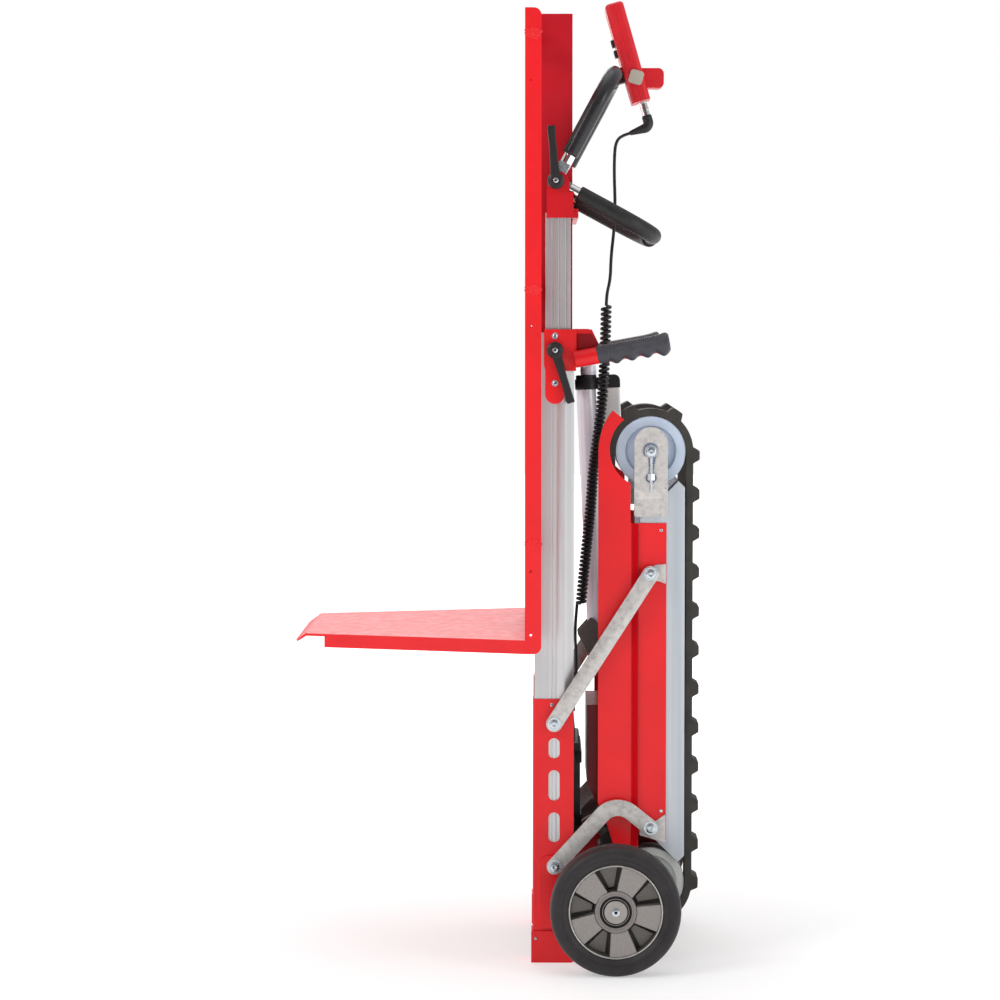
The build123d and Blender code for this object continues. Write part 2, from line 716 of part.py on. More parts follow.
tension_out = beam_out + 3 + tension_t
with BuildPart() as idler_axle:
    pin((idler_x, idler_z), idler_axle_d, belt_in - 4, tension_out)
    pin((idler_x, idler_z), 26, belt_in - 4 - 3, belt_in - 4)
    pin((idler_x, idler_z), 26, tension_out, tension_out + 3.5)
    hex_head((idler_x, idler_z), 22, tension_out + 3.5, tension_out + 9)

with BuildPart() as tension_bolt:
    with Locations((idler_x, -(tension_out + 1.5), (idler_z - 11 + 734) / 2)):
        Cylinder(2.5, idler_z - 11 - 734)
    block((idler_x - 9, idler_x + 9), (tension_out, tension_out + 5), (747, 756))
    with Locations((idler_x, -(tension_out + 1.5), 743)):
        Cylinder(4.6, 8)
publish_both("idler_tensioners", tension_bracket, idler_axle, tension_bolt)

# ================================================================ crawler: middle
with BuildPart() as crawler_tubes:
    for z in cross_tube_z:
        pin((cross_tube_x, z), cross_tube_d, -beam_in, beam_in)

with BuildPart() as drive_housing:
    with BuildSketch(Plane.XZ.offset(-housing_half)) as housing_side:
        with BuildLine():
            Polyline((housing_front, housing_step), (housing_front, housing_top), (housing_crest, housing_top),
                     (housing_rear, housing_shoulder), (housing_rear, housing_bottom), *housing_keel, close=True)
        make_face()
    extrude(amount=2 * housing_half)
    with BuildSketch(Plane.XZ.offset(-housing_half + housing_wall)):
        add(housing_side.sketch_local)
        offset(amount=-housing_wall, mode=Mode.REPLACE)
    extrude(amount=2 * (housing_half - housing_wall), mode=Mode.SUBTRACT)
    pin((drive_x, drive_z), drive_shaft_d + 2 * RUN, -housing_half, housing_half, mode=Mode.SUBTRACT)
    pin((cross_tube_x, cross_tube_z[0]), cross_tube_d, -housing_half, housing_half, mode=Mode.SUBTRACT)
publish(drive_housing.part, "drive_housing")

with BuildPart() as drive_gearbox:
    block((drive_x - gearbox_reach, housing_rear - housing_wall), (-gearbox_half, gearbox_half), gearbox_z)
    pin((drive_x, drive_z), drive_shaft_d + 2 * RUN, -gearbox_half, gearbox_half, mode=Mode.SUBTRACT)

with BuildPart() as drive_motor:
    pin(motor_at, drive_motor_d, -drive_motor_half, drive_motor_half)
    block((housing_front + housing_wall, motor_at[0]), (-gearbox_half, gearbox_half),
          (motor_at[1] - motor_foot_half, motor_at[1] + motor_foot_half))

with BuildPart() as drive_gearmotor:
    add(drive_gearbox.part)
    add(drive_motor.part)
publish(drive_gearmotor.part, "drive_gearmotor")

# ears that carry the actuator's rod eye, with the lug that stands forward of it
ear_in = act_tube_d / 2 + 1
ear_t = 5.0
ear_nose = ((149.0, 526.0), (126.0, 500.0), (137.0, 480.0), (146.0, 458.0), (232.0, 434.0))
ear_back = (176.0, 500.0)
ear_cheek = 22.0
act_eye_d = 22.0
with BuildPart() as actuator_ears:
    for side in (-1, 1):
        with BuildSketch(Plane.XZ.offset(side * (ear_in + ear_t / 2) - ear_t / 2)) as ear:
            with BuildLine():
                Polyline(*ear_nose, (cross_tube_x, cross_tube_z[1] - ear_cheek),
                         (cross_tube_x + 18, cross_tube_z[1]), (cross_tube_x, cross_tube_z[1] + ear_cheek),
                         ear_back, close=True)
            make_face()
            fillet(ear.vertices(), 5)
            with Locations((cross_tube_x, cross_tube_z[1])):
                Circle(cross_tube_d / 2, mode=Mode.SUBTRACT)
        extrude(ear.sketch, amount=ear_t)
        pin(act_end, act_eye_d, side * (ear_in + ear_t), side * (ear_in + ear_t + 4))

with BuildPart() as crawler_frame:
    add(crawler_tubes.part)
    add(actuator_ears.part)
publish(crawler_frame.part, "crawler_frame")

# ================================================================ actuator
act_angle = atan2(act_end[0] - act_top[0], act_top[1] - act_end[1])
act_reach = hypot(act_end[0] - act_top[0], act_top[1] - act_end[1])
act_plane = Plane(origin=(act_top[0], 0, act_top[1]), x_dir=(cos(act_angle), 0, sin(act_angle)),
                  z_dir=(sin(act_angle), 0, -cos(act_angle)))
act_box_from = 30.0
act_motor_at = 38.5
act_motor_w = 30.0
act_motor_len = 110.0
act_top_eye = handle_tube_d / 2 + 2

with BuildPart() as actuator_gearbox:
    with BuildSketch(act_plane.offset(act_box_from)):
        Circle(act_head_r)
        with Locations((act_motor_at / 2, 0)):
            Rectangle(act_motor_at, act_motor_w - 6)
        with Locations((act_motor_at, 0)):
            RectangleRounded(act_motor_w + 1, act_motor_w + 5, 6)
    extrude(amount=act_tube_start - act_box_from)
    with BuildSketch(act_plane.offset(act_top_eye)):
        Rectangle(18, 24)
    extrude(amount=act_box_from - act_top_eye)
    pin(act_top, handle_tube_d + 10, -12, 12)
    pin(act_top, handle_tube_d + 2 * RUN, -12, 12, mode=Mode.SUBTRACT)
publish(actuator_gearbox.part, "actuator_gearbox")

with BuildPart() as actuator_motor:
    with BuildSketch(act_plane.offset(act_tube_start)):
        with Locations((act_motor_at, 0)):
            RectangleRounded(act_motor_w, act_motor_w + 4, 3)
    extrude(amount=act_motor_len)
publish(actuator_motor.part, "actuator_motor")

with BuildPart() as actuator_tube:
    with BuildSketch(act_plane.offset(act_tube_start)):
        Circle(act_tube_d / 2)
        Circle(act_rod_d / 2 + RUN, mode=Mode.SUBTRACT)
    extrude(amount=act_tube_end - act_tube_start)
publish(actuator_tube.part, "actuator_tube")

with BuildPart() as actuator_rod:
    with BuildSketch(act_plane.offset(act_rod_start)):
        Circle(act_rod_d / 2)
    extrude(amount=act_reach - act_rod_start)
    pin(act_end, act_eye_d, -11, 11)
publish(actuator_rod.part, "actuator_rod")

# ================================================================ handle at the mast head
bracket_foot = mast_top - 59.0
tongue_x = (75.0, 105.0)
tongue_z = mast_top - 95.0
gusset_rear = 157.0
lower_lever_at = (90.0, mast_top - 27.0)
with BuildPart() as handle_bracket:
    with BuildSketch(Plane.XZ.offset(mast_out)) as bracket_face:
        with BuildLine():
            Polyline((tongue_x[0], tongue_z), (tongue_x[0], bracket_foot), (tongue_x[0] - 2, bracket_foot + 9),
                     (tongue_x[0] - 2, mast_top + sole_t), (mast_rear, mast_top + sole_t),
                     (mast_rear, bracket_foot), (tongue_x[1], bracket_foot), (tongue_x[1], tongue_z))
            ThreePointArc((tongue_x[1], tongue_z), (lower_lever_at[0], tongue_z - 15), (tongue_x[0], tongue_z))
        make_face()
    extrude(amount=bracket_t)
    # rear flange, and the gusset that reaches out over the handle tube
    block((mast_rear, mast_rear + bracket_t), (mast_in + 2, mast_out + bracket_t), (bracket_foot, mast_top + sole_t))
    with BuildSketch(Plane.XZ.offset(mast_out - 12)):
        with BuildLine():
            Polyline((mast_rear, act_top[1]), (gusset_rear, act_top[1]), (gusset_rear, mast_top - 16),
                     (gusset_rear - 10, mast_top + sole_t), (mast_rear, mast_top + sole_t), close=True)
        make_face()
        with Locations(act_top):
            Circle(handle_tube_d / 2, mode=Mode.SUBTRACT)
    extrude(amount=bracket_t)

handle_tilt = atan2(handle_end[1] - act_top[1], handle_end[0] - act_top[0])


def along_handle(x):
    """The plane square to one handle arm where its centre line stands at x."""
    return Plane(origin=(x, -handle_y, act_top[1] + (x - act_top[0]) * tan(handle_tilt)), x_dir=(0, 1, 0),
                 z_dir=(cos(handle_tilt), 0, sin(handle_tilt)))


with BuildPart() as handle_arm:
    with BuildSketch(along_handle(mast_rear + 1)):
        Circle(handle_tube_d / 2)
    extrude(amount=(handle_end[0] - mast_rear - 1) / cos(handle_tilt))

with BuildPart() as handle_tube:
    pin(act_top, handle_tube_d, -handle_y, handle_y)
    add(handle_arm.part)
    mirror(handle_arm.part, about=Plane.XZ)

lever_seat = mast_out + bracket_t + GAP
with BuildPart() as lever_bolt:
    pin(lower_lever_at, link_pin_d, mast_out + bracket_t, lever_seat + lever_t + 3)

with BuildPart() as handle_frame:
    add(handle_tube.part)
    for piece in (handle_bracket, lever_bolt):
        add(piece.part)
        mirror(piece.part, about=Plane.XZ)
publish(handle_frame.part, "handle_frame")

grip_len = (handle_end[0] - grip_start) / cos(handle_tilt)
with BuildPart() as handle_grip:
    with BuildSketch(along_handle(grip_start)):
        Circle(grip_d / 2)
        Circle(handle_tube_d / 2, mode=Mode.SUBTRACT)
    extrude(amount=grip_len)
    with BuildSketch(along_handle(handle_end[0])):
        Circle(grip_d / 2)
    extrude(amount=4)
publish_both("handle_grips", handle_grip)

# ================================================================ mast extension
with BuildPart() as inner_profile:
    with BuildSketch(Plane.XY.offset(inner_bottom)):
        with Locations((inner_front + inner_depth / 2, -inner_mid)):
            Rectangle(inner_depth, inner_w)
            Rectangle(inner_depth - 2 * inner_wall, inner_w - 2 * inner_wall, mode=Mode.SUBTRACT)
        with Locations([(x, -inner_out + groove_depth / 2) for x in (86.0, 96.4, 107.0)]):
            Rectangle(groove_w, groove_depth, mode=Mode.SUBTRACT)
    extrude(amount=inner_top - inner_bottom)
publish_both("inner_profiles", inner_profile)

head_mid_x = (77 + 112) / 2
with BuildPart() as head_bracket:
    for face in (inner_in - head_plate_t, inner_out):
        with BuildSketch(Plane.XZ.offset(face)) as head_plate:
            with Locations((head_mid_x, (head_bottom + loop_pivot[1]) / 2)):
                Rectangle(35, loop_pivot[1] - head_bottom)
            with Locations((head_mid_x, loop_pivot[1] - 3)):
                Circle(17.5)
            with Locations(loop_pivot):
                Circle(link_pin_d / 2, mode=Mode.SUBTRACT)
        extrude(head_plate.sketch, amount=head_plate_t)
    # the back strap that ties the two plates, and the bar across to the other side
    block((inner_rear, inner_rear + 4), (inner_in - head_plate_t, inner_out + head_plate_t),
          (head_bottom, head_bottom + 14))
    block((112, inner_rear + 4), (inner_out, inner_out + head_plate_t), (head_bottom, head_bottom + 40))
    block((112, inner_rear), (inner_in - head_plate_t, inner_in), (head_bottom, head_bottom + 14))

with BuildPart() as head_bar:
    block((inner_rear + 4, inner_rear + 12), (-inner_out, inner_out), (head_bottom, head_bottom + 14))

with BuildPart() as loop_bolt:
    pin(loop_pivot, link_pin_d, inner_in - head_plate_t, inner_out + head_plate_t + GAP + lever_t + 3)
    pin(loop_pivot, 20, inner_in - head_plate_t - 3, inner_in - head_plate_t)

with BuildPart() as head_brackets:
    add(head_bar.part)
    for piece in (head_bracket, loop_bolt):
        add(piece.part)
        mirror(piece.part, about=Plane.XZ)
publish(head_brackets.part, "head_brackets")


def loop_plane(angle):
    """Plane of a hand loop: local x along the loop, local y across the machine."""
    return Plane(origin=(loop_pivot[0], 0, loop_pivot[1]), x_dir=(cos(radians(angle)), 0, sin(radians(angle))),
                 z_dir=(sin(radians(angle)), 0, -cos(radians(angle))))


def loop_path(angle, length, start):
    """Centre line of one leg of a hand loop, round its bend to the cross bar's middle."""
    plane = loop_plane(angle)
    corner = [(start, inner_mid), (length, inner_mid), (length, 0)]
    return FilletPolyline(*[plane.from_local_coords(Vector(*point, 0)) for point in corner], radius=loop_bend)


# ================================================================ hand loops
def hand_loop(angle, length, eye_in, eye_out):
    """One bent tube with flattened ends that turn on the head bolts."""
    with BuildPart() as loop:
        with BuildLine() as leg:
            loop_path(angle, length, loop_root)
        with BuildSketch(Plane(leg.line @ 0, z_dir=leg.line % 0)) as section:
            Circle(loop_tube_d / 2)
        sweep(section.sketch, path=leg.line)
        mirror(about=Plane.XZ)
        for side in (-1, 1):
            pin(loop_pivot, 24, side * eye_in, side * eye_out)
            eye_plane = loop_plane(angle)
            reach = loop_root + 8
            with Locations(eye_plane.location * Location((reach / 2, side * (eye_in + eye_out) / 2, 0))):
                Box(reach, eye_out - eye_in, 18)
            pin(loop_pivot, link_pin_d + 2 * RUN, side * eye_in, side * eye_out, mode=Mode.SUBTRACT)
    return loop


eye_middle = inner_mid
upper_loop = hand_loop(upper_loop_angle, upper_loop_len, eye_middle + GAP / 2, inner_out - GAP)
publish(upper_loop.part, "upper_loop")
lower_loop = hand_loop(lower_loop_angle, lower_loop_len, inner_in + GAP, eye_middle - GAP / 2)
publish(lower_loop.part, "lower_loop")


def loop_grips(angle, length, start, name):
    """Foam sleeves on both legs of a hand loop, from near the root to the cross bar."""
    with BuildPart() as grips:
        with BuildLine() as leg:
            plane = loop_plane(angle)
            corner = [(start, inner_mid), (length, inner_mid), (length, inner_mid - loop_bend - 8)]
            FilletPolyline(*[plane.from_local_coords(Vector(*point, 0)) for point in corner], radius=loop_bend)
        with BuildSketch(Plane(leg.line @ 0, z_dir=leg.line % 0)) as section:
            Circle(loop_grip_d / 2)
            Circle(loop_tube_d / 2, mode=Mode.SUBTRACT)
        sweep(section.sketch, path=leg.line)
        mirror(about=Plane.XZ)
    publish(grips.part, name)


loop_grips(upper_loop_angle, upper_loop_len, 46, "upper_loop_grips")
loop_grips(lower_loop_angle, lower_loop_len, 40, "lower_loop_grips")


# ================================================================ clamp levers
def clamp_lever(at, turn, seat, head_hole):
    """A lever with a round head on its bolt and a tapered arm."""
    with BuildPart() as lever:
        with BuildSketch(Plane.XZ.offset(seat)) as outline:
            with Locations(at):
                Circle(lever_d / 2)
            with BuildLine(Plane.XY) as arm:
                tip = polar(at, lever_len, turn)
                Polyline(polar(at, lever_d / 2 - 2, turn + 90), polar(tip, 5.5, turn + 90),
                         polar(tip, 5.5, turn - 90), polar(at, lever_d / 2 - 2, turn - 90), close=True)
            make_face()
        extrude(outline.sketch, amount=lever_t)
        pin(at, head_hole + 2 * RUN, seat, seat + lever_t, mode=Mode.SUBTRACT)
        fillet(lever.edges().group_by(Axis.Y)[0].filter_by(GeomType.LINE), 1.5)
    return lever


publish_pair(clamp_lever(lower_lever_at, -73, lever_seat, link_pin_d), "lower_lever")
publish_pair(clamp_lever(loop_pivot, 95, inner_out + head_plate_t + GAP, link_pin_d), "upper_lever")

# ================================================================ handset on the upper loop
set_top = (182.5, 1501.0)
set_bottom = (227.0, 1346.0)
set_len = hypot(set_bottom[0] - set_top[0], set_bottom[1] - set_top[1])
set_thick = 30.0
set_width = 68.0
set_wall = 2.5
set_tilt = atan2(set_bottom[0] - set_top[0], set_top[1] - set_bottom[1])
set_plane = Plane(origin=(set_bottom[0], 0, set_bottom[1]), x_dir=(cos(set_tilt), 0, sin(set_tilt)),
                  z_dir=(-sin(set_tilt), 0, cos(set_tilt)))
split_plane = Plane(set_plane.origin, x_dir=(0, 1, 0), z_dir=(cos(set_tilt), 0, sin(set_tilt)))


def set_point(along, out):
    """World (x, z) of a place on the handset: up from its lower end, and out from its middle."""
    spot = set_plane.from_local_coords(Vector(out, 0, along))
    return (spot.X, spot.Z)


with BuildPart() as handset_block:
    with BuildSketch(set_plane):
        RectangleRounded(set_thick, set_width, 9)
    extrude(amount=set_len)
    fillet(handset_block.edges().group_by(Axis.Z)[-1], 6)
    with BuildSketch(set_plane.offset(set_wall)):
        RectangleRounded(set_thick - 2 * set_wall, set_width - 2 * set_wall, 6.5)
    extrude(amount=set_len - 2 * set_wall - 4, mode=Mode.SUBTRACT)

arm_root = (206.0, 1383.0)
arm_end = 263.0
with BuildPart() as handset_arm:
    with BuildSketch(Plane.XZ.offset(-19)):
        with BuildLine():
            Polyline(set_point(20, set_thick / 2 - 4), (arm_end, arm_root[1] - 16), (arm_end, arm_root[1] + 16),
                     set_point(52, set_thick / 2 - 4), close=True)
        make_face()
    extrude(amount=38)
    fillet(handset_arm.edges().filter_by(Axis.Y).sort_by(Axis.X)[-2:], 9)

button_along = (84.0, 101.0)
pad_at = set_point(38, 2)
with BuildPart() as handset_front_shell:
    add(handset_block.part)
    split(bisect_by=split_plane, keep=Keep.BOTTOM)
    for along in button_along:
        with Locations(set_plane.location * Location((-set_thick / 2, 0, along))):
            Box(12, 18 + 2 * GAP, 12 + 2 * GAP, mode=Mode.SUBTRACT)
    pin(pad_at, 10 + 2 * GAP, set_width / 2 - 6, set_width / 2 + 1, mode=Mode.SUBTRACT)
publish(handset_front_shell.part, "handset_front_shell")

with BuildPart() as handset_rear_shell:
    add(handset_block.part)
    split(bisect_by=split_plane, keep=Keep.TOP)
    add(handset_arm.part)
    pin(pad_at, 10 + 2 * GAP, set_width / 2 - 6, set_width / 2 + 1, mode=Mode.SUBTRACT)
publish(handset_rear_shell.part, "handset_rear_shell")

with BuildPart() as handset_clip:
    bar_at = loop_plane(upper_loop_angle).from_local_coords(Vector(upper_loop_len, 0, 0))
    bar_local = set_plane.to_local_coords(bar_at)
    pin((bar_at.X, bar_at.Z), loop_tube_d + 9, -16, 16)
    with Locations(set_plane.location * Location(((bar_local.X - set_thick / 2) / 2, 0, bar_local.Z))):
        Box(-set_thick / 2 - bar_local.X, 28, 24)
    pin((bar_at.X, bar_at.Z), loop_tube_d, -16, 16, mode=Mode.SUBTRACT)
publish(handset_clip.part, "handset_clip")

button_names = ("handset_down_button", "handset_up_button")
for along, name in zip(button_along, button_names):
    with BuildPart() as button:
        with Locations(set_plane.location * Location((-set_thick / 2, 0, along))):
            Box(10, 18, 12)
        fillet(button.edges().sort_by(Axis.X)[:4], 1.5)
    publish(button.part, name)

with BuildPart() as handset_side_button:
    pin(pad_at, 10, set_width / 2 - 6, set_width / 2 + 2)
    with BuildSketch(Plane.XZ.offset(set_width / 2 + 2)) as pad_face:
        with Locations(Location(pad_at, -degrees(set_tilt))):
            RectangleRounded(22, 22, 5)
    extrude(pad_face.sketch, amount=3)
publish(handset_side_button.part, "handset_side_button")

# ================================================================ cord
socket_len = 26.0
socket_d = 13.0
boot_len = 38.3
lead_points = [
    (210, 0, 1297), (195, 0, 1293), (187, -3, 1281), (185, -8, 1260), (184.6, -16, 1226), (186, -26, 1184),
    (184, -36, 1142), (179, -43, 1100), (178, -47.5, 1064), (171.9, -50, 1040), (171.5, -50, 1022)]
boot_end = Vector(*lead_points[0])
boot_axis = (Vector(*lead_points[1]) - boot_end).normalized()
boot_corner = boot_end - boot_axis * boot_len
socket_start = set_plane.from_local_coords(Vector(3, 0, 0))
socket_end = set_plane.from_local_coords(Vector(3, 0, -socket_len))
with BuildPart() as cord_plug:
    with BuildSketch(Plane(origin=socket_start, z_dir=-set_plane.z_dir)):
        Circle(socket_d / 2)
    extrude(amount=socket_len)
    with BuildSketch(Plane(origin=socket_end, z_dir=-set_plane.z_dir)):
        Circle(8)
    extrude(amount=17)
    with BuildSketch(Plane(origin=boot_corner - boot_axis * 2, z_dir=boot_axis)):
        Circle(8)
    with BuildSketch(Plane(origin=boot_end, z_dir=boot_axis)):
        Circle(3.8)
    loft()
publish(cord_plug.part, "cord_plug")

coil_points = [
    (171.5, -50, 1022), (170.5, -50, 978), (169, -50, 934), (166.5, -50, 890), (162, -50, 843),
    (156, -50, 800), (150.5, -50, 755), (147.5, -50, 705), (142, -50, 652), (136.5, -50, 600), (132, -50, 549)]
tail_points = [
    (126, -50, 549.5), (123.6, -50, 525), (122.8, -49, 497), (124.5, -45, 466), (124.5, -45, 440)]


def cord_tube(points, diameter, name):
    """A tube of straight runs joined by arcs as large as their runs allow."""
    route = [Vector(*point) for point in points]
    radii = []
    for before, here, after in zip(route, route[1:], route[2:]):
        turn = radians((here - before).get_angle(after - here))
        shorter = min((here - before).length, (after - here).length)
        radii.append(0.45 * shorter / tan(turn / 2))
    with BuildPart() as tube:
        with BuildLine() as path:
            FilletPolyline(*route, radius=radii)
        with BuildSketch(Plane(path.line @ 0, z_dir=path.line % 0)) as section:
            Circle(diameter / 2)
        sweep(section.sketch, path=path.line)
    length = sum(edge.length for edge in path.edges())
    expected = pi * diameter ** 2 / 4 * length
    print(name, "length", round(length, 1), "volume ratio", round(tube.part.volume / expected, 4),
          "radii", [round(radius) for radius in radii])
    publish(tube.part, name)


cord_tube(lead_points, cord_d, "cord_lead")
cord_tube(coil_points, coil_d, "cord_coil")
cord_tube(tail_points, cord_d, "cord_tail")

# ================================================================ carriage
with BuildPart() as carriage_frame:
    for side in (-1, 1):
        side_leg = sorted((side * (rail_out - rail_t), side * rail_out))
        front_leg = sorted((side * (rail_out - 28), side * rail_out))
        block((rail_front, rail_front + rail_depth), side_leg, (rail_bottom, rail_top))
        block((rail_front, rail_front + rail_t), front_leg, (rail_bottom + 21, rail_top - 12))
    ends = carriage_frame.edges().filter_by(Axis.Y).group_by(Axis.X)[-1]
    fillet(ends, 12)
    for z in rail_holes:
        pin((rail_hole_x, z), rail_hole_d, -rail_out, rail_out, mode=Mode.SUBTRACT)
    for z in bar_zs:
        block((rail_front + rail_t, bar_rear), (-rail_out + rail_t, rail_out - rail_t), (z - bar_h / 2, z + bar_h / 2))
publish(carriage_frame.part, "carriage_frame")

with BuildPart() as carriage_guide:
    block((guide_front, guide_rear), (guide_in, guide_out), (guide_bottom, guide_top))
    block((guide_front + guide_wall, guide_rear - guide_wall), (guide_in, guide_out - guide_wall),
          (guide_bottom, guide_top), mode=Mode.SUBTRACT)
    for z in bar_zs:
        block((bar_rear, guide_front), (guide_in + 4, guide_out - 4), (z - bar_h / 2, z + bar_h / 2))
publish_both("carriage_guides", carriage_guide)

slide_zs = ((540.0, 590.0), (720.0, 770.0))
with BuildPart() as carriage_slide:
    for z_span in slide_zs:
        block((slide_groove_x - slide_groove_w / 2 + GAP, slide_groove_x + slide_groove_w / 2 - GAP),
              (guide_out, mast_in + slide_groove_depth - GAP), z_span)
        block((slide_groove_x - 16, slide_groove_x + 16), (guide_out, mast_in - GAP), z_span)

with BuildPart() as lift_nut:
    block((bar_rear, screw_x), (-11, 11), (nut_z, nut_z + nut_h))
    with Locations((screw_x, 0, nut_z + nut_h / 2)):
        Cylinder(13.5, nut_h)
        Cylinder(screw_d / 2 + RUN, nut_h, mode=Mode.SUBTRACT)

with BuildPart() as carriage_slides:
    add(carriage_slide.part)
    mirror(carriage_slide.part, about=Plane.XZ)
    add(lift_nut.part)
publish(carriage_slides.part, "carriage_slides")

toe_slope = (rail_out - toe_front_half) / (rail_front - toe_front)
lip_x = toe_front - lip_len
lip_half = toe_front_half - toe_slope * lip_len
with BuildPart() as toe_plate:
    with BuildSketch(Plane.XZ.offset(-rail_out)):
        with BuildLine():
            Polyline((rail_front, toe_top), (toe_front, toe_top), (lip_x, toe_top - lip_drop),
                     (lip_x + 2, toe_top - lip_drop - toe_t + 1), (toe_front + 1, toe_top - toe_t),
                     (rail_front, toe_top - toe_t), close=True)
        make_face()
    extrude(amount=2 * rail_out)
    with BuildSketch(Plane.XY.offset(toe_top - lip_drop - 10)) as toe_outline:
        with BuildLine():
            Polyline((rail_front, -rail_out), (rail_front, rail_out), (lip_x, lip_half), (lip_x, -lip_half),
                     close=True)
        make_face()
        fillet(toe_outline.vertices().group_by(Axis.X)[0], 32)
    extrude(amount=60, mode=Mode.INTERSECT)
    with BuildSketch(Plane.XY.offset(toe_top - flange_h)) as toe_flange:
        add(toe_outline.sketch_local)
        offset(toe_outline.sketch_local, amount=-toe_t, mode=Mode.SUBTRACT)
        with Locations((toe_front + 6, 0)):
            Rectangle(2 * lip_len + 12, 2 * rail_out, mode=Mode.SUBTRACT)
    extrude(toe_flange.sketch, amount=flange_h - 1)
publish(toe_plate.part, "toe_plate")
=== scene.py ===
"""Stair-climbing hand truck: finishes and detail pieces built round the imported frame.

Frame: +Z up, +X towards the operator and the crawler tracks, Y across the machine with
the operator's left side at -Y.  Sizes inside the classes are millimetres, as on the
part's drawing, and MM turns them into Blender's metres.
"""

import logging
import math
from dataclasses import dataclass
from enum import Enum, IntEnum
from typing import Callable, Optional, Sequence

import bmesh
import bpy
from mathutils import Matrix, Vector, noise


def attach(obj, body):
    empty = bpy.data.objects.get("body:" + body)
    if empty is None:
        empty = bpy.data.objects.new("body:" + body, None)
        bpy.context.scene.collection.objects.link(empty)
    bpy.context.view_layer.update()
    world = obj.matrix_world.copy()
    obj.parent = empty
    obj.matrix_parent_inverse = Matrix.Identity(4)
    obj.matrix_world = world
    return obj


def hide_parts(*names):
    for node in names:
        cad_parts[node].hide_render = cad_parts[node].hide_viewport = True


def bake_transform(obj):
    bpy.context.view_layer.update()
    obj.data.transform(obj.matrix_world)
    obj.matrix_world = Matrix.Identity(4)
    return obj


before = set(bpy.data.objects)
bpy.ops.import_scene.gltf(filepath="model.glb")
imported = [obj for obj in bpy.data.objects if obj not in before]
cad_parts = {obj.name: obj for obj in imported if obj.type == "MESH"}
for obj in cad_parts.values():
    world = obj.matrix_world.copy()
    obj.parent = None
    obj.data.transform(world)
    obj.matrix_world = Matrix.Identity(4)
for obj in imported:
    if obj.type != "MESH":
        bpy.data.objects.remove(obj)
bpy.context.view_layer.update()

log = logging.getLogger("hand_truck")
logging.basicConfig(level=logging.INFO, format="%(message)s")

MM = 0.001
LOOP_PIVOT = (91.0, 1214.0)
WHEEL_AXLE = (182.6, 100.0)
HANDLE_TUBE = (138.0, 942.0)
LINK_BASE_UPPER = (89.0, 374.6)
LINK_BASE_LOWER = (90.0, 152.2)
NOISE_RANGE = (0.3, 0.7)
GOLDEN_ANGLE = 2.39996
Point2 = tuple[float, float]
Point3 = tuple[float, float, float]
Colour = tuple[float, float, float]


class Side(IntEnum):
    """Which side of the centre plane a piece stands on."""

    LEFT = -1
    RIGHT = 1


class Slot(str, Enum):
    """The record's material slots."""

    SIGNAL_RED = "signal_red"
    SATIN_ALUMINIUM = "satin_aluminium"
    CAST_ALUMINIUM = "cast_aluminium"
    ZINC_PLATE = "zinc_plate"
    BRIGHT_STEEL = "bright_steel"
    CHROME_TUBE = "chrome_tube"
    TYRE_RUBBER = "tyre_rubber"
    TRACK_RUBBER = "track_rubber"
    GRIP_RUBBER = "grip_rubber"
    FOAM_GRIP = "foam_grip"
    IDLER_PLASTIC = "idler_plastic"
    PULLEY_PLASTIC = "pulley_plastic"
    TRACK_BEAM = "track_beam_aluminium"
    ACTUATOR_ALUMINIUM = "actuator_aluminium"
    BLACK_PLASTIC = "black_plastic"
    BLACK_PAINT = "black_paint"
    GREY_PAINT = "grey_paint"
    DARK_RED = "dark_red"
    BATTERY_PLASTIC = "battery_plastic"
    CORD_RUBBER = "cord_rubber"
    BEIGE_PLASTIC = "beige_plastic"
    SLIDE_PLASTIC = "bronze_slide"


# ------------------------------------------------------------------ finishes
def ranged(
    tree: bpy.types.NodeTree, value, source: Point2, target: Point2, easing: str = "LINEAR"
):
    """Map a socket's value from one range onto another.

    Args:
        tree: the node tree that holds both.
        value: the socket that is read.
        source: the range that it covers.
        target: the range that it is mapped onto.
        easing: the way between the two ends.

    Returns:
        The result socket.
    """
    node = tree.nodes.new("ShaderNodeMapRange")
    node.interpolation_type = easing
    for name, number in zip(("From Min", "From Max", "To Min", "To Max"), (*source, *target)):
        node.inputs[name].default_value = number
    tree.links.new(value, node.inputs["Value"])
    return node.outputs["Result"]


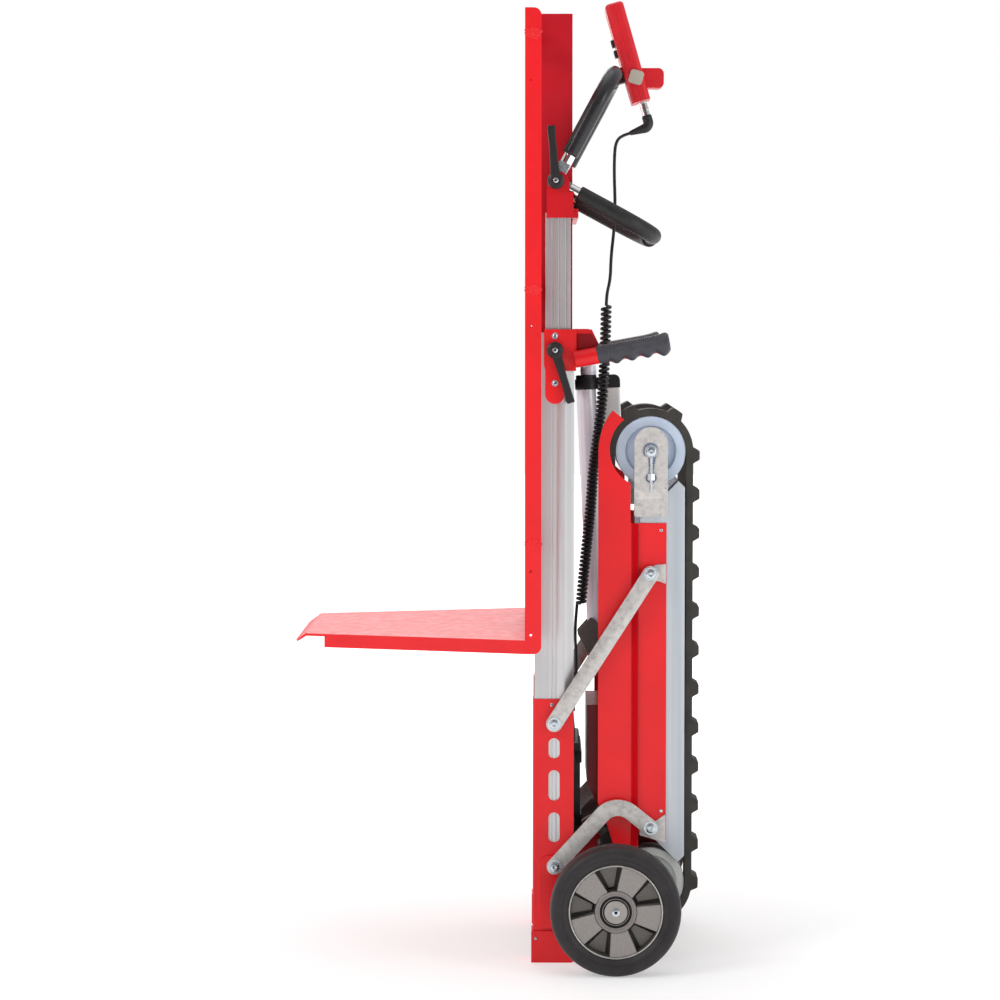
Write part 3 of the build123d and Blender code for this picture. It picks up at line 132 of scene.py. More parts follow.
class NodeBench:
    """Wires the nodes of one material."""

    def __init__(self, material: bpy.types.Material) -> None:
        """Start from an empty node tree with one principled shader.

        Args:
            material: the material whose nodes are laid out.
        """
        self.tree = material.node_tree
        self.tree.nodes.clear()
        output = self.tree.nodes.new("ShaderNodeOutputMaterial")
        self.shader = self.tree.nodes.new("ShaderNodeBsdfPrincipled")
        self.tree.links.new(self.shader.outputs["BSDF"], output.inputs["Surface"])
        self.place = self.tree.nodes.new("ShaderNodeTexCoord").outputs["Object"]

    def set(self, **values: float) -> None:
        """Set plain numbers on the shader's own sockets, underscores standing for spaces."""
        for key, value in values.items():
            self.shader.inputs[key.replace("_", " ")].default_value = value

    def grain(
        self, size: float, detail: float = 3.0, stretch: Point3 = (1, 1, 1), rough: float = 0.5
    ):
        """Soft noise in object space.

        Args:
            size: the size of one feature in millimetres.
            detail: how many finer layers lie on it.
            stretch: how much longer a feature is along each axis.
            rough: how strong the finer layers are.

        Returns:
            The noise's factor socket.
        """
        mapping = self.tree.nodes.new("ShaderNodeMapping")
        mapping.inputs["Scale"].default_value = tuple(1 / (size * MM * s) for s in stretch)
        self.tree.links.new(self.place, mapping.inputs["Vector"])
        texture = self.tree.nodes.new("ShaderNodeTexNoise")
        texture.inputs["Scale"].default_value = 1.0
        texture.inputs["Detail"].default_value = detail
        texture.inputs["Roughness"].default_value = rough
        self.tree.links.new(mapping.outputs["Vector"], texture.inputs["Vector"])
        return texture.outputs["Fac"]

    def flakes(self, size: float):
        """A flat random grey for each scattered cell of size millimetres."""
        texture = self.tree.nodes.new("ShaderNodeTexVoronoi")
        texture.inputs["Scale"].default_value = 1 / (size * MM)
        self.tree.links.new(self.place, texture.inputs["Vector"])
        split = self.tree.nodes.new("ShaderNodeSeparateColor")
        self.tree.links.new(texture.outputs["Color"], split.inputs["Color"])
        return split.outputs["Red"]

    def ramp(self, factor, stops: Sequence[tuple[float, Colour]]):
        """Turn a factor into a colour through named stops.

        Args:
            factor: the socket that is read.
            stops: positions and colours in rising order.

        Returns:
            The ramp's colour socket.
        """
        node = self.tree.nodes.new("ShaderNodeValToRGB")
        band = node.color_ramp
        while len(band.elements) < len(stops):
            band.elements.new(0.5)
        for element, (position, value) in zip(band.elements, stops):
            element.position = position
            element.color = (*value, 1.0)
        self.tree.links.new(factor, node.inputs["Fac"])
        return node.outputs["Color"]

    def span(self, factor, low: float, high: float):
        """Map a noise's usual range onto plain numbers and return the socket."""
        return ranged(self.tree, factor, NOISE_RANGE, (low, high))

    def shade(self, factor, colour: Colour, tints: Point2, stops: Point2 = NOISE_RANGE) -> None:
        """Let the base colour drift with a factor, from one tint of a colour to another."""
        pairs = [(stop, tint(colour, share)) for stop, share in zip(stops, tints)]
        self.feed(self.ramp(factor, pairs), "Base Color")

    def roughen(self, factor, middle: float, below: float, above: float) -> None:
        """Let the roughness vary with a factor, below and above its middle value."""
        self.feed(self.span(factor, middle - below, middle + above), "Roughness")

    def feed(self, socket, name: str) -> None:
        """Link a socket to one of the shader's inputs."""
        self.tree.links.new(socket, self.shader.inputs[name])

    def relief(self, *layers: tuple[object, float]) -> None:
        """Stack bumps on the surface.

        Args:
            layers: pairs of a height socket and its depth in millimetres.
        """
        normal = None
        for height, depth in layers:
            node = self.tree.nodes.new("ShaderNodeBump")
            node.inputs["Strength"].default_value = 1.0
            node.inputs["Distance"].default_value = depth * MM
            self.tree.links.new(height, node.inputs["Height"])
            if normal is not None:
                self.tree.links.new(normal, node.inputs["Normal"])
            normal = node.outputs["Normal"]
        self.tree.links.new(normal, self.shader.inputs["Normal"])


def tint(colour: Colour, factor: float) -> Colour:
    """Scale a colour's brightness."""
    return tuple(min(1.0, channel * factor) for channel in colour)


@dataclass(frozen=True)
class Finish:
    """A named finish that belongs to one of the record's slots."""

    name: str
    slot: Slot
    colour: Colour

    def material(self) -> bpy.types.Material:
        """Return the finish's material, made once."""
        found = bpy.data.materials.get(self.name)
        if found is None:
            found = bpy.data.materials.new(self.name)
            found.use_nodes = True
            found.diffuse_color = (*self.colour, 1.0)
            self.compose(NodeBench(found))
        return found

    def compose(self, bench: NodeBench) -> None:
        """Lay out the finish's nodes on the bench."""
        raise NotImplementedError


@dataclass(frozen=True)
class PowderCoat(Finish):
    """Gloss powder coat: slight orange peel and a clear top."""

    roughness: float = 0.4
    peel: float = 0.02
    gloss: float = 0.12
    shine: float = 0.3

    def compose(self, bench: NodeBench) -> None:
        """Lay out colour drift, orange peel and gloss."""
        bench.shade(bench.grain(90, 2), self.colour, (0.93, 1.05))
        bench.roughen(bench.grain(14, 2), self.roughness, 0.05, 0.06)
        bench.set(Coat_Weight=self.gloss, Coat_Roughness=0.14, Specular_IOR_Level=self.shine)
        bench.relief((bench.grain(1.6, 2), self.peel), (bench.grain(30, 1), 0.05))


@dataclass(frozen=True)
class DrawnAluminium(Finish):
    """Satin anodised extrusion with fine lines along one axis."""

    roughness: float = 0.36
    along: Point3 = (1, 1, 60)
    metal: float = 0.85

    def compose(self, bench: NodeBench) -> None:
        """Lay out the drawing lines and the satin bands."""
        lines = bench.grain(2.2, 4, self.along, 0.65)
        bench.shade(bench.grain(13, 2, self.along), self.colour, (0.88, 1.06))
        bench.roughen(lines, self.roughness, 0.07, 0.09)
        bench.set(Metallic=self.metal)
        bench.relief((lines, 0.012))


@dataclass(frozen=True)
class Galvanised(Finish):
    """Mottled zinc on sheet steel."""

    roughness: float = 0.5

    def compose(self, bench: NodeBench) -> None:
        """Lay out the spangle, the cloudy stains and the rolled texture."""
        clouds = bench.grain(9, 5, rough=0.65)
        spangle = bench.flakes(5)
        mixer = bench.tree.nodes.new("ShaderNodeMath")
        mixer.operation = "MULTIPLY_ADD"
        bench.tree.links.new(spangle, mixer.inputs[0])
        mixer.inputs[1].default_value = 0.16
        bench.tree.links.new(clouds, mixer.inputs[2])
        stops = (
            (0.42, tint(self.colour, 0.82)), (0.56, self.colour), (0.74, tint(self.colour, 1.12))
        )
        bench.feed(bench.ramp(mixer.outputs[0], stops), "Base Color")
        bench.roughen(clouds, self.roughness, 0.14, 0.12)
        bench.set(Metallic=0.55)
        bench.relief((clouds, 0.06), (bench.grain(1.1, 2), 0.02))


@dataclass(frozen=True)
class BrightMetal(Finish):
    """Bright plating: chrome on tubes and clear zinc on fasteners."""

    roughness: float = 0.1
    brushed: float = 0.004

    def compose(self, bench: NodeBench) -> None:
        """Lay out a mirror-like metal with faint marks."""
        marks = bench.grain(5, 4)
        bench.shade(marks, self.colour, (0.95, 1.0))
        bench.feed(bench.span(marks, self.roughness * 0.85, self.roughness * 1.2), "Roughness")
        bench.set(Metallic=1.0)
        bench.relief((bench.grain(0.8, 2), self.brushed))


@dataclass(frozen=True)
class DieCast(Finish):
    """Raw die-cast aluminium with a sandy skin."""

    roughness: float = 0.55

    def compose(self, bench: NodeBench) -> None:
        """Lay out the casting skin."""
        skin = bench.grain(3, 5, rough=0.7)
        bench.shade(skin, self.colour, (0.8, 1.12))
        bench.roughen(skin, self.roughness, 0.1, 0.1)
        bench.set(Metallic=0.75)
        bench.relief((skin, 0.08), (bench.grain(0.7, 2), 0.03))


@dataclass(frozen=True)
class TurnedRing(Finish):
    """Machined metal with fine rings about an axis across the machine."""

    centre: Point2 = (0.0, 0.0)
    roughness: float = 0.3

    def compose(self, bench: NodeBench) -> None:
        """Lay out the rings that the tool leaves."""
        mapping = bench.tree.nodes.new("ShaderNodeMapping")
        mapping.inputs["Location"].default_value = (-self.centre[0] * MM, 0, -self.centre[1] * MM)
        mapping.inputs["Scale"].default_value = (1, 0, 1)
        bench.tree.links.new(bench.place, mapping.inputs["Vector"])
        wave = bench.tree.nodes.new("ShaderNodeTexWave")
        wave.wave_type = "RINGS"
        wave.rings_direction = "SPHERICAL"
        wave.inputs["Scale"].default_value = 900.0
        wave.inputs["Distortion"].default_value = 0.6
        bench.tree.links.new(mapping.outputs["Vector"], wave.inputs["Vector"])
        bench.shade(wave.outputs["Fac"], self.colour, (0.86, 1.05), (0.0, 1.0))
        bench.roughen(bench.grain(6, 3), self.roughness, 0.06, 0.08)
        bench.set(Metallic=0.9)
        bench.relief((wave.outputs["Fac"], 0.015))


@dataclass(frozen=True)
class Elastomer(Finish):
    """Rubber and foam: dull, dusty and finely pebbled."""

    roughness: float = 0.55
    pebble: float = 0.9
    depth: float = 0.03
    dust: float = 1.3
    shine: float = 0.35

    def compose(self, bench: NodeBench) -> None:
        """Lay out dust and pebbling."""
        bench.shade(bench.grain(28, 4, rough=0.6), self.colour, (0.82, self.dust), (0.3, 0.72))
        bench.roughen(bench.grain(8, 3), self.roughness, 0.07, 0.08)
        bench.set(Specular_IOR_Level=self.shine)
        bench.relief((bench.grain(self.pebble, 3), self.depth))


@dataclass(frozen=True)
class MouldedPlastic(Finish):
    """Injection-moulded plastic with a fine spark-eroded grain."""

    roughness: float = 0.42
    texture: float = 0.5
    depth: float = 0.01
    shine: float = 0.4

    def compose(self, bench: NodeBench) -> None:
        """Lay out the mould grain and a faint colour drift."""
        bench.shade(bench.grain(35, 3), self.colour, (0.92, 1.05))
        bench.roughen(bench.grain(9, 3), self.roughness, 0.05, 0.07)
        bench.set(Specular_IOR_Level=self.shine)
        bench.relief((bench.grain(self.texture, 2), self.depth))


class Paintbox:
    """Every finish of the machine, each named for what it covers."""

    RED_COAT = PowderCoat("red_powder_coat", Slot.SIGNAL_RED, (0.80, 0.010, 0.015))
    # A darker copy of the red coat for the carriage guides: painted shade, as they stand in shadow
    # behind the rails.
    SHADED_GUIDE_COAT = PowderCoat(
        "guide_painted_shade_red", Slot.SIGNAL_RED, (0.50, 0.006, 0.016), roughness=0.42, gloss=0.06,
        shine=0.25
    )
    # A darker copy of the red coat for the head brackets: painted shade.
    SHADED_BRACKET_COAT = PowderCoat(
        "bracket_painted_shade_red", Slot.SIGNAL_RED, (0.62, 0.006, 0.014), roughness=0.36
    )
    # Dull dark red for the strip over the side plates' fold: painted shade.
    FOLD_SHADE_COAT = PowderCoat(
        "fold_painted_shade", Slot.SIGNAL_RED, (0.56, 0.001, 0.006), roughness=0.6, gloss=0.0,
        shine=0.05
    )
    HANDSET = MouldedPlastic(
        "handset_red_shell", Slot.SIGNAL_RED, (0.66, 0.012, 0.022), roughness=0.4
    )
    # Deep red for the drive housing; on the gusset faces and the fold edges it is painted shade.
    DEEP_RED_AND_SHADE_COAT = PowderCoat(
        "deep_red_and_painted_shade_coat", Slot.DARK_RED, (0.30, 0.004, 0.010), roughness=0.45
    )
    MAST = DrawnAluminium("mast_satin_anodised", Slot.SATIN_ALUMINIUM, (0.60, 0.60, 0.61))
    BEAM = DrawnAluminium(
        "track_beam_anodised", Slot.TRACK_BEAM, (0.58, 0.62, 0.67), roughness=0.42
    )
    ACTUATOR = DrawnAluminium(
        "actuator_anodised", Slot.ACTUATOR_ALUMINIUM, (0.80, 0.78, 0.85), roughness=0.32,
        metal=0.12
    )
    ZINC = Galvanised("mottled_zinc_plate", Slot.ZINC_PLATE, (0.60, 0.58, 0.56))
    FASTENER = BrightMetal(
        "clear_zinc_fastener", Slot.BRIGHT_STEEL, (0.60, 0.66, 0.71), roughness=0.27
    )
    CAP = BrightMetal("worn_axle_cap", Slot.BRIGHT_STEEL, (0.42, 0.395, 0.375), roughness=0.46)
    SCUFF = Galvanised("scuffed_rim_edge", Slot.CAST_ALUMINIUM, (0.50, 0.48, 0.46), roughness=0.4)
    SCREW = BrightMetal(
        "rolled_screw_steel", Slot.BRIGHT_STEEL, (0.62, 0.62, 0.63), roughness=0.28
    )
    CHROME = BrightMetal("chromed_tube", Slot.CHROME_TUBE, (0.80, 0.80, 0.81), roughness=0.07)
    RIM = DieCast("die_cast_rim", Slot.CAST_ALUMINIUM, (0.36, 0.335, 0.32))
    # A much darker copy of the rim casting for its disc and band: painted shade deep between the
    # spokes.
    RIM_PIT_SHADE = DieCast("die_cast_rim_pit_painted_shade", Slot.CAST_ALUMINIUM, (0.12, 0.11, 0.105), roughness=0.7)
    RIM_PAD = DieCast("die_cast_rim_pad", Slot.CAST_ALUMINIUM, (0.25, 0.235, 0.22), roughness=0.6)
    HUB = TurnedRing(
        "machined_hub_ring", Slot.CAST_ALUMINIUM, (0.26, 0.235, 0.23), centre=WHEEL_AXLE
    )
    EAR = DieCast("raw_cast_ear", Slot.ZINC_PLATE, (0.17, 0.15, 0.14), roughness=0.6)
    TYRE = Elastomer(
        "dusty_tyre_rubber", Slot.TYRE_RUBBER, (0.027, 0.024, 0.026), roughness=0.5, shine=0.3,
        depth=0.01
    )
    TRACK = Elastomer(
        "dusty_track_rubber", Slot.TRACK_RUBBER, (0.040, 0.037, 0.033), roughness=0.6, pebble=1.4,
        depth=0.02, shine=0.3
    )
    GRIP = Elastomer(
        "handle_grip_rubber", Slot.GRIP_RUBBER, (0.048, 0.049, 0.060), roughness=0.4, dust=1.2
    )
    FOAM = Elastomer(
        "loop_sleeve_rubber", Slot.FOAM_GRIP, (0.024, 0.024, 0.028), roughness=0.28, dust=1.1,
        depth=0.006
    )
    RIBBED = Elastomer(
        "ribbed_sleeve_rubber", Slot.FOAM_GRIP, (0.016, 0.0155, 0.016), roughness=0.46, depth=0.02
    )
    IDLER = MouldedPlastic("idler_pale_plastic", Slot.IDLER_PLASTIC, (0.56, 0.66, 0.80))
    PULLEY = MouldedPlastic("drive_pulley_plastic", Slot.PULLEY_PLASTIC, (0.52, 0.54, 0.52))
    BLACK_PLASTIC = MouldedPlastic(
        "black_moulding", Slot.BLACK_PLASTIC, (0.018, 0.018, 0.020), depth=0.02
    )
    BLACK_PAINT = PowderCoat(
        "black_satin_paint", Slot.BLACK_PAINT, (0.016, 0.016, 0.018), roughness=0.5, gloss=0.05
    )
    GREY_PAINT = PowderCoat(
        "grey_motor_paint", Slot.GREY_PAINT, (0.78, 0.765, 0.74), roughness=0.5, gloss=0.05
    )
    BATTERY = MouldedPlastic(
        "battery_moulding", Slot.BATTERY_PLASTIC, (0.05, 0.05, 0.055), roughness=0.5
    )
    SEAL = Elastomer(
        "bearing_seal", Slot.CORD_RUBBER, (0.010, 0.010, 0.010), roughness=0.5, shine=0.15
    )
    CORD = Elastomer(
        "cord_jacket", Slot.CORD_RUBBER, (0.019, 0.019, 0.022), roughness=0.4, depth=0.004,
        dust=1.1
    )
    BEIGE = MouldedPlastic("beige_button", Slot.BEIGE_PLASTIC, (0.46, 0.42, 0.35), roughness=0.5)
    SLIDE = MouldedPlastic(
        "slide_block_plastic", Slot.SLIDE_PLASTIC, (0.07, 0.07, 0.07), roughness=0.45
    )


# ------------------------------------------------------------------ mesh shop
class Work:
    """One mesh under construction, in millimetres."""

    def __init__(self) -> None:
        """Start with no geometry."""
        self.bm = bmesh.new()

    def prism(self, outline: Sequence[Point2], y_from: float, y_to: float) -> "Work":
        """Add a plate whose outline lies in the side view.

        Args:
            outline: corners as (x, z), in order round the plate.
            y_from: where one face lies across the machine.
            y_to: where the other face lies.

        Returns:
            The work itself.
        """
        return self.block([[(x, y, z) for x, z in outline] for y in (y_from, y_to)])

    def block(self, rows: Sequence[Sequence[Point3]]) -> "Work":
        """Add a solid between two matching rings of points."""
        near, far = ([self.bm.verts.new(point) for point in row] for row in rows)
        self.bm.faces.new(near)
        self.bm.faces.new(far[::-1])
        for index in range(len(near)):
            after = (index + 1) % len(near)
            self.bm.faces.new((near[after], near[index], far[index], far[after]))
        return self

    def box(self, x: Point2, y: Point2, z: Point2) -> "Work":
        """Add a square-cornered block between pairs of limits."""
        return self.prism(((x[0], z[0]), (x[1], z[0]), (x[1], z[1]), (x[0], z[1])), *y)

    def turned(
        self, profile: Sequence[Point2], centre: Point2, closed: bool = False, segments: int = 72
    ) -> "Work":
        """Add a turned piece about an axis across the machine.

        Args:
            profile: (y, radius) pairs along the cut.
            centre: the axis as (x, z).
            closed: whether the last point joins the first, as in a ring.
            segments: how many flats approach the circle.

        Returns:
            The work itself.
        """
        rings = []
        for y, radius in profile:
            if radius <= 0:
                rings.append([self.bm.verts.new((centre[0], y, centre[1]))])
                continue
            rings.append([
                self.bm.verts.new((
                    centre[0] + radius * math.cos(2 * math.pi * step / segments),
                    y,
                    centre[1] + radius * math.sin(2 * math.pi * step / segments),
                ))
                for step in range(segments)
            ])
        pairs = list(zip(rings, rings[1:]))
        if closed:
            pairs.append((rings[-1], rings[0]))
        for lower, upper in pairs:
            for step in range(segments):
                after = (step + 1) % segments
                if len(lower) == 1 and len(upper) == 1:
                    continue
                if len(lower) == 1:
                    self.bm.faces.new((lower[0], upper[after], upper[step]))
                elif len(upper) == 1:
                    self.bm.faces.new((lower[step], lower[after], upper[0]))
                else:
                    self.bm.faces.new((lower[step], lower[after], upper[after], upper[step]))
        return self

    def hose(
        self,
        path: Sequence[Vector],
        radius: Callable[[float, float], float],
        sides: int = 24,
        bore: float = 0.0,
    ) -> "Work":
        """Sweep a round section along a path.

        Args:
            path: the centre line's points.
            radius: gives the radius for a share of the path and an angle round it.
            sides: how many flats approach the circle.
            bore: the inner radius, or zero for a closed end.

        Returns:
            The work itself.
        """
        frames = carry_frames(path)
        total = measured(path)
        run = 0.0
        rings, bores = [], []
        for index, (spot, across, over) in enumerate(frames):
            if index:
                run += (path[index] - path[index - 1]).length
            ring, inner = [], []
            for step in range(sides):
                angle = 2 * math.pi * step / sides
                ray = across * math.cos(angle) + over * math.sin(angle)
                ring.append(self.bm.verts.new(spot + ray * radius(run / total, angle)))
                if bore:
                    inner.append(self.bm.verts.new(spot + ray * bore))
            rings.append(ring)
            bores.append(inner)
        for shells, flip in ((rings, False), (bores, True)):
            for lower, upper in zip(shells, shells[1:]):
                for step in range(len(lower)):
                    after = (step + 1) % sides
                    quad = (lower[step], lower[after], upper[after], upper[step])
                    self.bm.faces.new(tuple(reversed(quad)) if flip else quad)
        for end in (0, -1):
            if bore:
                for step in range(sides):
                    after = (step + 1) % sides
                    self.bm.faces.new(
                        (rings[end][step], rings[end][after], bores[end][after], bores[end][step])
                    )
            else:
                self.bm.faces.new(rings[end])
        return self

    def copy_of(self, node: str) -> "Work":
        """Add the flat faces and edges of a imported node, with its triangles merged.

        Args:
            node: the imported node's name.

        Returns:
            The work itself.
        """
        fresh = bmesh.new()
        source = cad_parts[node]
        fresh.from_mesh(source.data)
        bmesh.ops.remove_doubles(fresh, verts=fresh.verts, dist=1e-6)
        bmesh.ops.dissolve_limit(
            fresh, angle_limit=math.radians(0.6), use_dissolve_boundaries=False, verts=fresh.verts,
            edges=fresh.edges
        )
        bmesh.ops.scale(fresh, vec=(1 / MM,) * 3, verts=fresh.verts)
        mesh = bpy.data.meshes.new("merged")
        fresh.to_mesh(mesh)
        fresh.free()
        self.bm.from_mesh(mesh)
        bpy.data.meshes.remove(mesh)
        return self

    def plate(
        self, outer: Sequence[Point2], holes: Sequence[Sequence[Point2]], y_from: float,
        y_to: float, side: int = 1, edge: float = 0.4,
    ) -> "Work":
        """Add a flat plate with holes and rounded edges.

        Args:
            outer: its outline in the side view.
            holes: the outlines of its holes.
            y_from: the distance of its inner face from the centre plane.
            y_to: the distance of its outer face.
            side: the side that it stands on.
            edge: the radius of its edges.

        Returns:
            The work itself.
        """
        curve = bpy.data.curves.new("plate", "CURVE")
        curve.dimensions = "2D"
        curve.fill_mode = "BOTH"
        curve.extrude = abs(y_to - y_from) / 2 - edge
        curve.bevel_depth = edge
        curve.bevel_resolution = 1
        curve.offset = -edge
        for loop in (outer, *holes):
            spline = curve.splines.new("POLY")
            spline.points.add(len(loop) - 1)
            for point, (x, z) in zip(spline.points, loop):
                point.co = (x, z, 0, 1)
            spline.use_cyclic_u = True
        holder = bpy.data.objects.new("plate", curve)
        bpy.context.scene.collection.objects.link(holder)
        bpy.context.view_layer.update()
        mesh = bpy.data.meshes.new_from_object(holder)
        middle = Matrix.Translation((0, side * (y_from + y_to) / 2, 0))
        mesh.transform(middle @ Matrix.Rotation(math.pi / 2, 4, "X"))
        self.bm.from_mesh(mesh)
        bmesh.ops.remove_doubles(self.bm, verts=self.bm.verts, dist=1e-4)
        bpy.data.objects.remove(holder)
        bpy.data.curves.remove(curve)
        bpy.data.meshes.remove(mesh)
        return self

    def plan(self, outline: Sequence[Point2], z_from: float, z_to: float) -> "Work":
        """Add a block whose outline lies in the top view, as (x, y), between two heights."""
        return self.block([[(x, y, z) for x, y in outline] for z in (z_from, z_to)])

    def upright(
        self, profile: Sequence[Point2], closed: bool = False, segments: int = 64
    ) -> "Work":
        """Add a turned piece about the upright axis, from (radius, z) pairs."""
        fresh = Work().turned([(z, radius) for radius, z in profile], (0.0, 0.0), closed, segments)
        fresh.shift(Matrix.Rotation(math.pi / 2, 4, "X"))
        return self.join(fresh)

    def join(self, other: "Work") -> "Work":
        """Take over everything that another piece of work holds."""
        mesh = bpy.data.meshes.new("joined")
        other.bm.to_mesh(mesh)
        other.bm.free()
        self.bm.from_mesh(mesh)
        bpy.data.meshes.remove(mesh)
        return self

    def shift(self, matrix: Matrix) -> "Work":
        """Move everything made so far."""
        bmesh.ops.transform(self.bm, matrix=matrix, verts=self.bm.verts)
        return self

    def publish(
        self,
        name: str,
        finish: Finish,
        body: Optional[str],
        replaces: Sequence[str] = (),
        bevel: float = 0.0,
        steps: int = 2,
        smooth: float = 34.0,
        subdivide: int = 0,
        angle: float = 32.0,
    ) -> bpy.types.Object:
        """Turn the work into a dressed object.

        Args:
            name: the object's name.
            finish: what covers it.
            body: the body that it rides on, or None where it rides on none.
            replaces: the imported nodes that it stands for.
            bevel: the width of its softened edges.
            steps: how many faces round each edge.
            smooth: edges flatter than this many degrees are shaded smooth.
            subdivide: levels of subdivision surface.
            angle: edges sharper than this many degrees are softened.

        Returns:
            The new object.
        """
        bmesh.ops.recalc_face_normals(self.bm, faces=self.bm.faces)
        bmesh.ops.scale(self.bm, vec=(MM,) * 3, verts=self.bm.verts)
        mesh = bpy.data.meshes.new(name)
        self.bm.to_mesh(mesh)
        self.bm.free()
        mesh.shade_smooth()
        mesh.set_sharp_from_angle(angle=math.radians(smooth))
        mesh.materials.append(finish.material())
        piece = bpy.data.objects.new(name, mesh)
        bpy.context.scene.collection.objects.link(piece)
        if bevel:
            soften = piece.modifiers.new("soft_edges", "BEVEL")
            soften.width = bevel * MM
            soften.segments = steps
            soften.limit_method = "ANGLE"
            soften.angle_limit = math.radians(angle)
            soften.harden_normals = True
            soften.miter_outer = "MITER_ARC"
        if subdivide:
            finer = piece.modifiers.new("fine_surface", "SUBSURF")
            finer.levels = subdivide
            finer.render_levels = subdivide
        if body is not None:
            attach(piece, body)
        if replaces:
            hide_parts(*replaces)
        log.info("piece %s: %d faces", name, len(mesh.polygons))
        return piece


def measured(line: Sequence[Vector]) -> float:
    """The length along a line."""
    return sum((b - a).length for a, b in zip(line, line[1:]))


def carry_frames(path: Sequence[Vector]) -> list[tuple[Vector, Vector, Vector]]:
    """Carry a pair of cross directions along a path without twist.

    Args:
        path: the centre line's points.

    Returns:
        For each point, the point and two unit vectors across the path.
    """
    frames = []
    last = (path[1] - path[0]).normalized()
    across = last.orthogonal().normalized()
    if abs(last.y) < 0.9:
        across = (Vector((0, 1, 0)) - last * last.y).normalized()
    for index, spot in enumerate(path):
        ahead = path[min(index + 1, len(path) - 1)] - spot
        behind = spot - path[max(index - 1, 0)]
        heading = (ahead.normalized() + behind.normalized()).normalized()
        across = (last.rotation_difference(heading) @ across).normalized()
        across = (across - heading * across.dot(heading)).normalized()
        frames.append((spot, across, heading.cross(across).normalized()))
        last = heading
    return frames


def polar(centre: Point2, radius: float, degrees: float) -> Point2:
    """The point at an angle round a centre."""
    return (
        centre[0] + radius * math.cos(math.radians(degrees)),
        centre[1] + radius * math.sin(math.radians(degrees)),
    )


def rounded(corners: Sequence[tuple[float, float, float]], steps: int = 6) -> list[Point2]:
    """Round the corners of an outline.

    Args:
        corners: (x, z, radius) triples in order.
        steps: points on each rounded corner.

    Returns:
        The outline's points.
    """
    points: list[Point2] = []
    count = len(corners)
    for index, (x, z, radius) in enumerate(corners):
        here = Vector((x, z))
        before = Vector(corners[index - 1][:2]) - here
        after = Vector(corners[(index + 1) % count][:2]) - here
        turn = before.angle(after)
        if radius <= 0 or turn > math.pi - 0.01:
            points.append((x, z))
            continue
        reach = min(radius / math.tan(turn / 2), 0.49 * before.length, 0.49 * after.length)
        start, end = here + before.normalized() * reach, here + after.normalized() * reach
        for step in range(steps + 1):
            share = step / steps
            spot = start * (1 - share) ** 2 + here * 2 * share * (1 - share) + end * share ** 2
            points.append((spot.x, spot.y))
    return points


def filleted(corners: Sequence[Vector], radius: float, steps: int = 14) -> list[Vector]:
    """A centre line of straight runs joined by true arcs.

    Args:
        corners: the corner points.
        radius: the bend radius.
        steps: points on each bend.

    Returns:
        The line's points.
    """
    line = [corners[0]]
    for before, here, after in zip(corners, corners[1:], corners[2:]):
        back, ahead = (before - here).normalized(), (after - here).normalized()
        half = back.angle(ahead) / 2
        reach = radius / math.tan(half)
        hub = here + (back + ahead).normalized() * (radius / math.sin(half))
        start, end = here + back * reach - hub, here + ahead * reach - hub
        turn = start.rotation_difference(end)
        axis, sweep = turn.to_axis_angle()
        for step in range(steps + 1):
            line.append(hub + Matrix.Rotation(sweep * step / steps, 3, axis) @ start)
    line.append(corners[-1])
    return line


def even(line: Sequence[Vector], spacing: float) -> list[Vector]:
    """Put points at an even spacing along a line."""
    lengths = [(b - a).length for a, b in zip(line, line[1:])]
    count = max(2, round(sum(lengths) / spacing))
    wanted = [sum(lengths) * step / count for step in range(count + 1)]
    points, run, index = [], 0.0, 0
    for mark in wanted:
        while index < len(lengths) - 1 and run + lengths[index] < mark:
            run += lengths[index]
            index += 1
        inside = min(1.0, (mark - run) / max(lengths[index], 1e-9))
        points.append(line[index].lerp(line[index + 1], inside))
    return points


def outward(side: Side, profile: Sequence[Point2]) -> list[Point2]:
    """Lay (distance from the centre plane, radius) pairs out on one side of the machine."""
    return [(side * distance, radius) for distance, radius in profile]


def soften(
    node: str, finish: Finish, body: str, bevel: float = 0.6, steps: int = 2
) -> bpy.types.Object:
    """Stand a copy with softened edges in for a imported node.

    Args:
        node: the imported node's name.
        finish: what covers it.
        body: the body that it rides on.
        bevel: the width of the softened edges.
        steps: faces round each edge.

    Returns:
        The new object.
    """
    return Work().copy_of(node).publish(f"{node}_finished", finish, body, (node,), bevel, steps)


def mirrored(maker: Callable[[Side], object]) -> None:
    """Make a piece on the left side and again on the right."""
    for side in Side:
        maker(side)


# ------------------------------------------------------------------ fasteners
@dataclass(frozen=True)
class SocketBolt:
    """A round-headed socket bolt on a washer, standing out from the machine's side."""

    at: Point2
    seat: float
    washer: float = 10.6
    washer_t: float = 2.0
    head: float = 7.0
    head_t: float = 4.6
    socket: float = 2.9

    def cut(self, work: Work, side: Side) -> None:
        """Add the bolt to a piece of work.

        Args:
            work: the mesh that it joins.
            side: the side that it stands on.
        """
        top = self.seat + self.washer_t
        if self.washer > self.head:
            rim = min(0.6, self.washer_t * 0.4)
            washer = (
                (self.seat, 0.0), (self.seat, self.washer), (top - rim, self.washer),
                (top, self.washer - rim), (top, 0.0),
            )
            work.turned(outward(side, washer), self.at)
        crown = top + self.head_t
        head = (
            (top, 0.0), (top, self.head), (crown - 1.6, self.head), (crown - 0.6, self.head - 0.5),
            (crown, self.head - 1.7), (crown, self.socket + 0.5), (crown - 0.5, self.socket),
            (crown - 2.4, self.socket), (crown - 2.8, 0.0),
        )
        work.turned(outward(side, head), self.at, segments=48)


def plain_screw(at: Point2, seat: float, head: float, head_t: float, socket: float) -> SocketBolt:
    """A socket bolt that has no washer."""
    return SocketBolt(at, seat, 0.0, 0.0, head, head_t, socket)


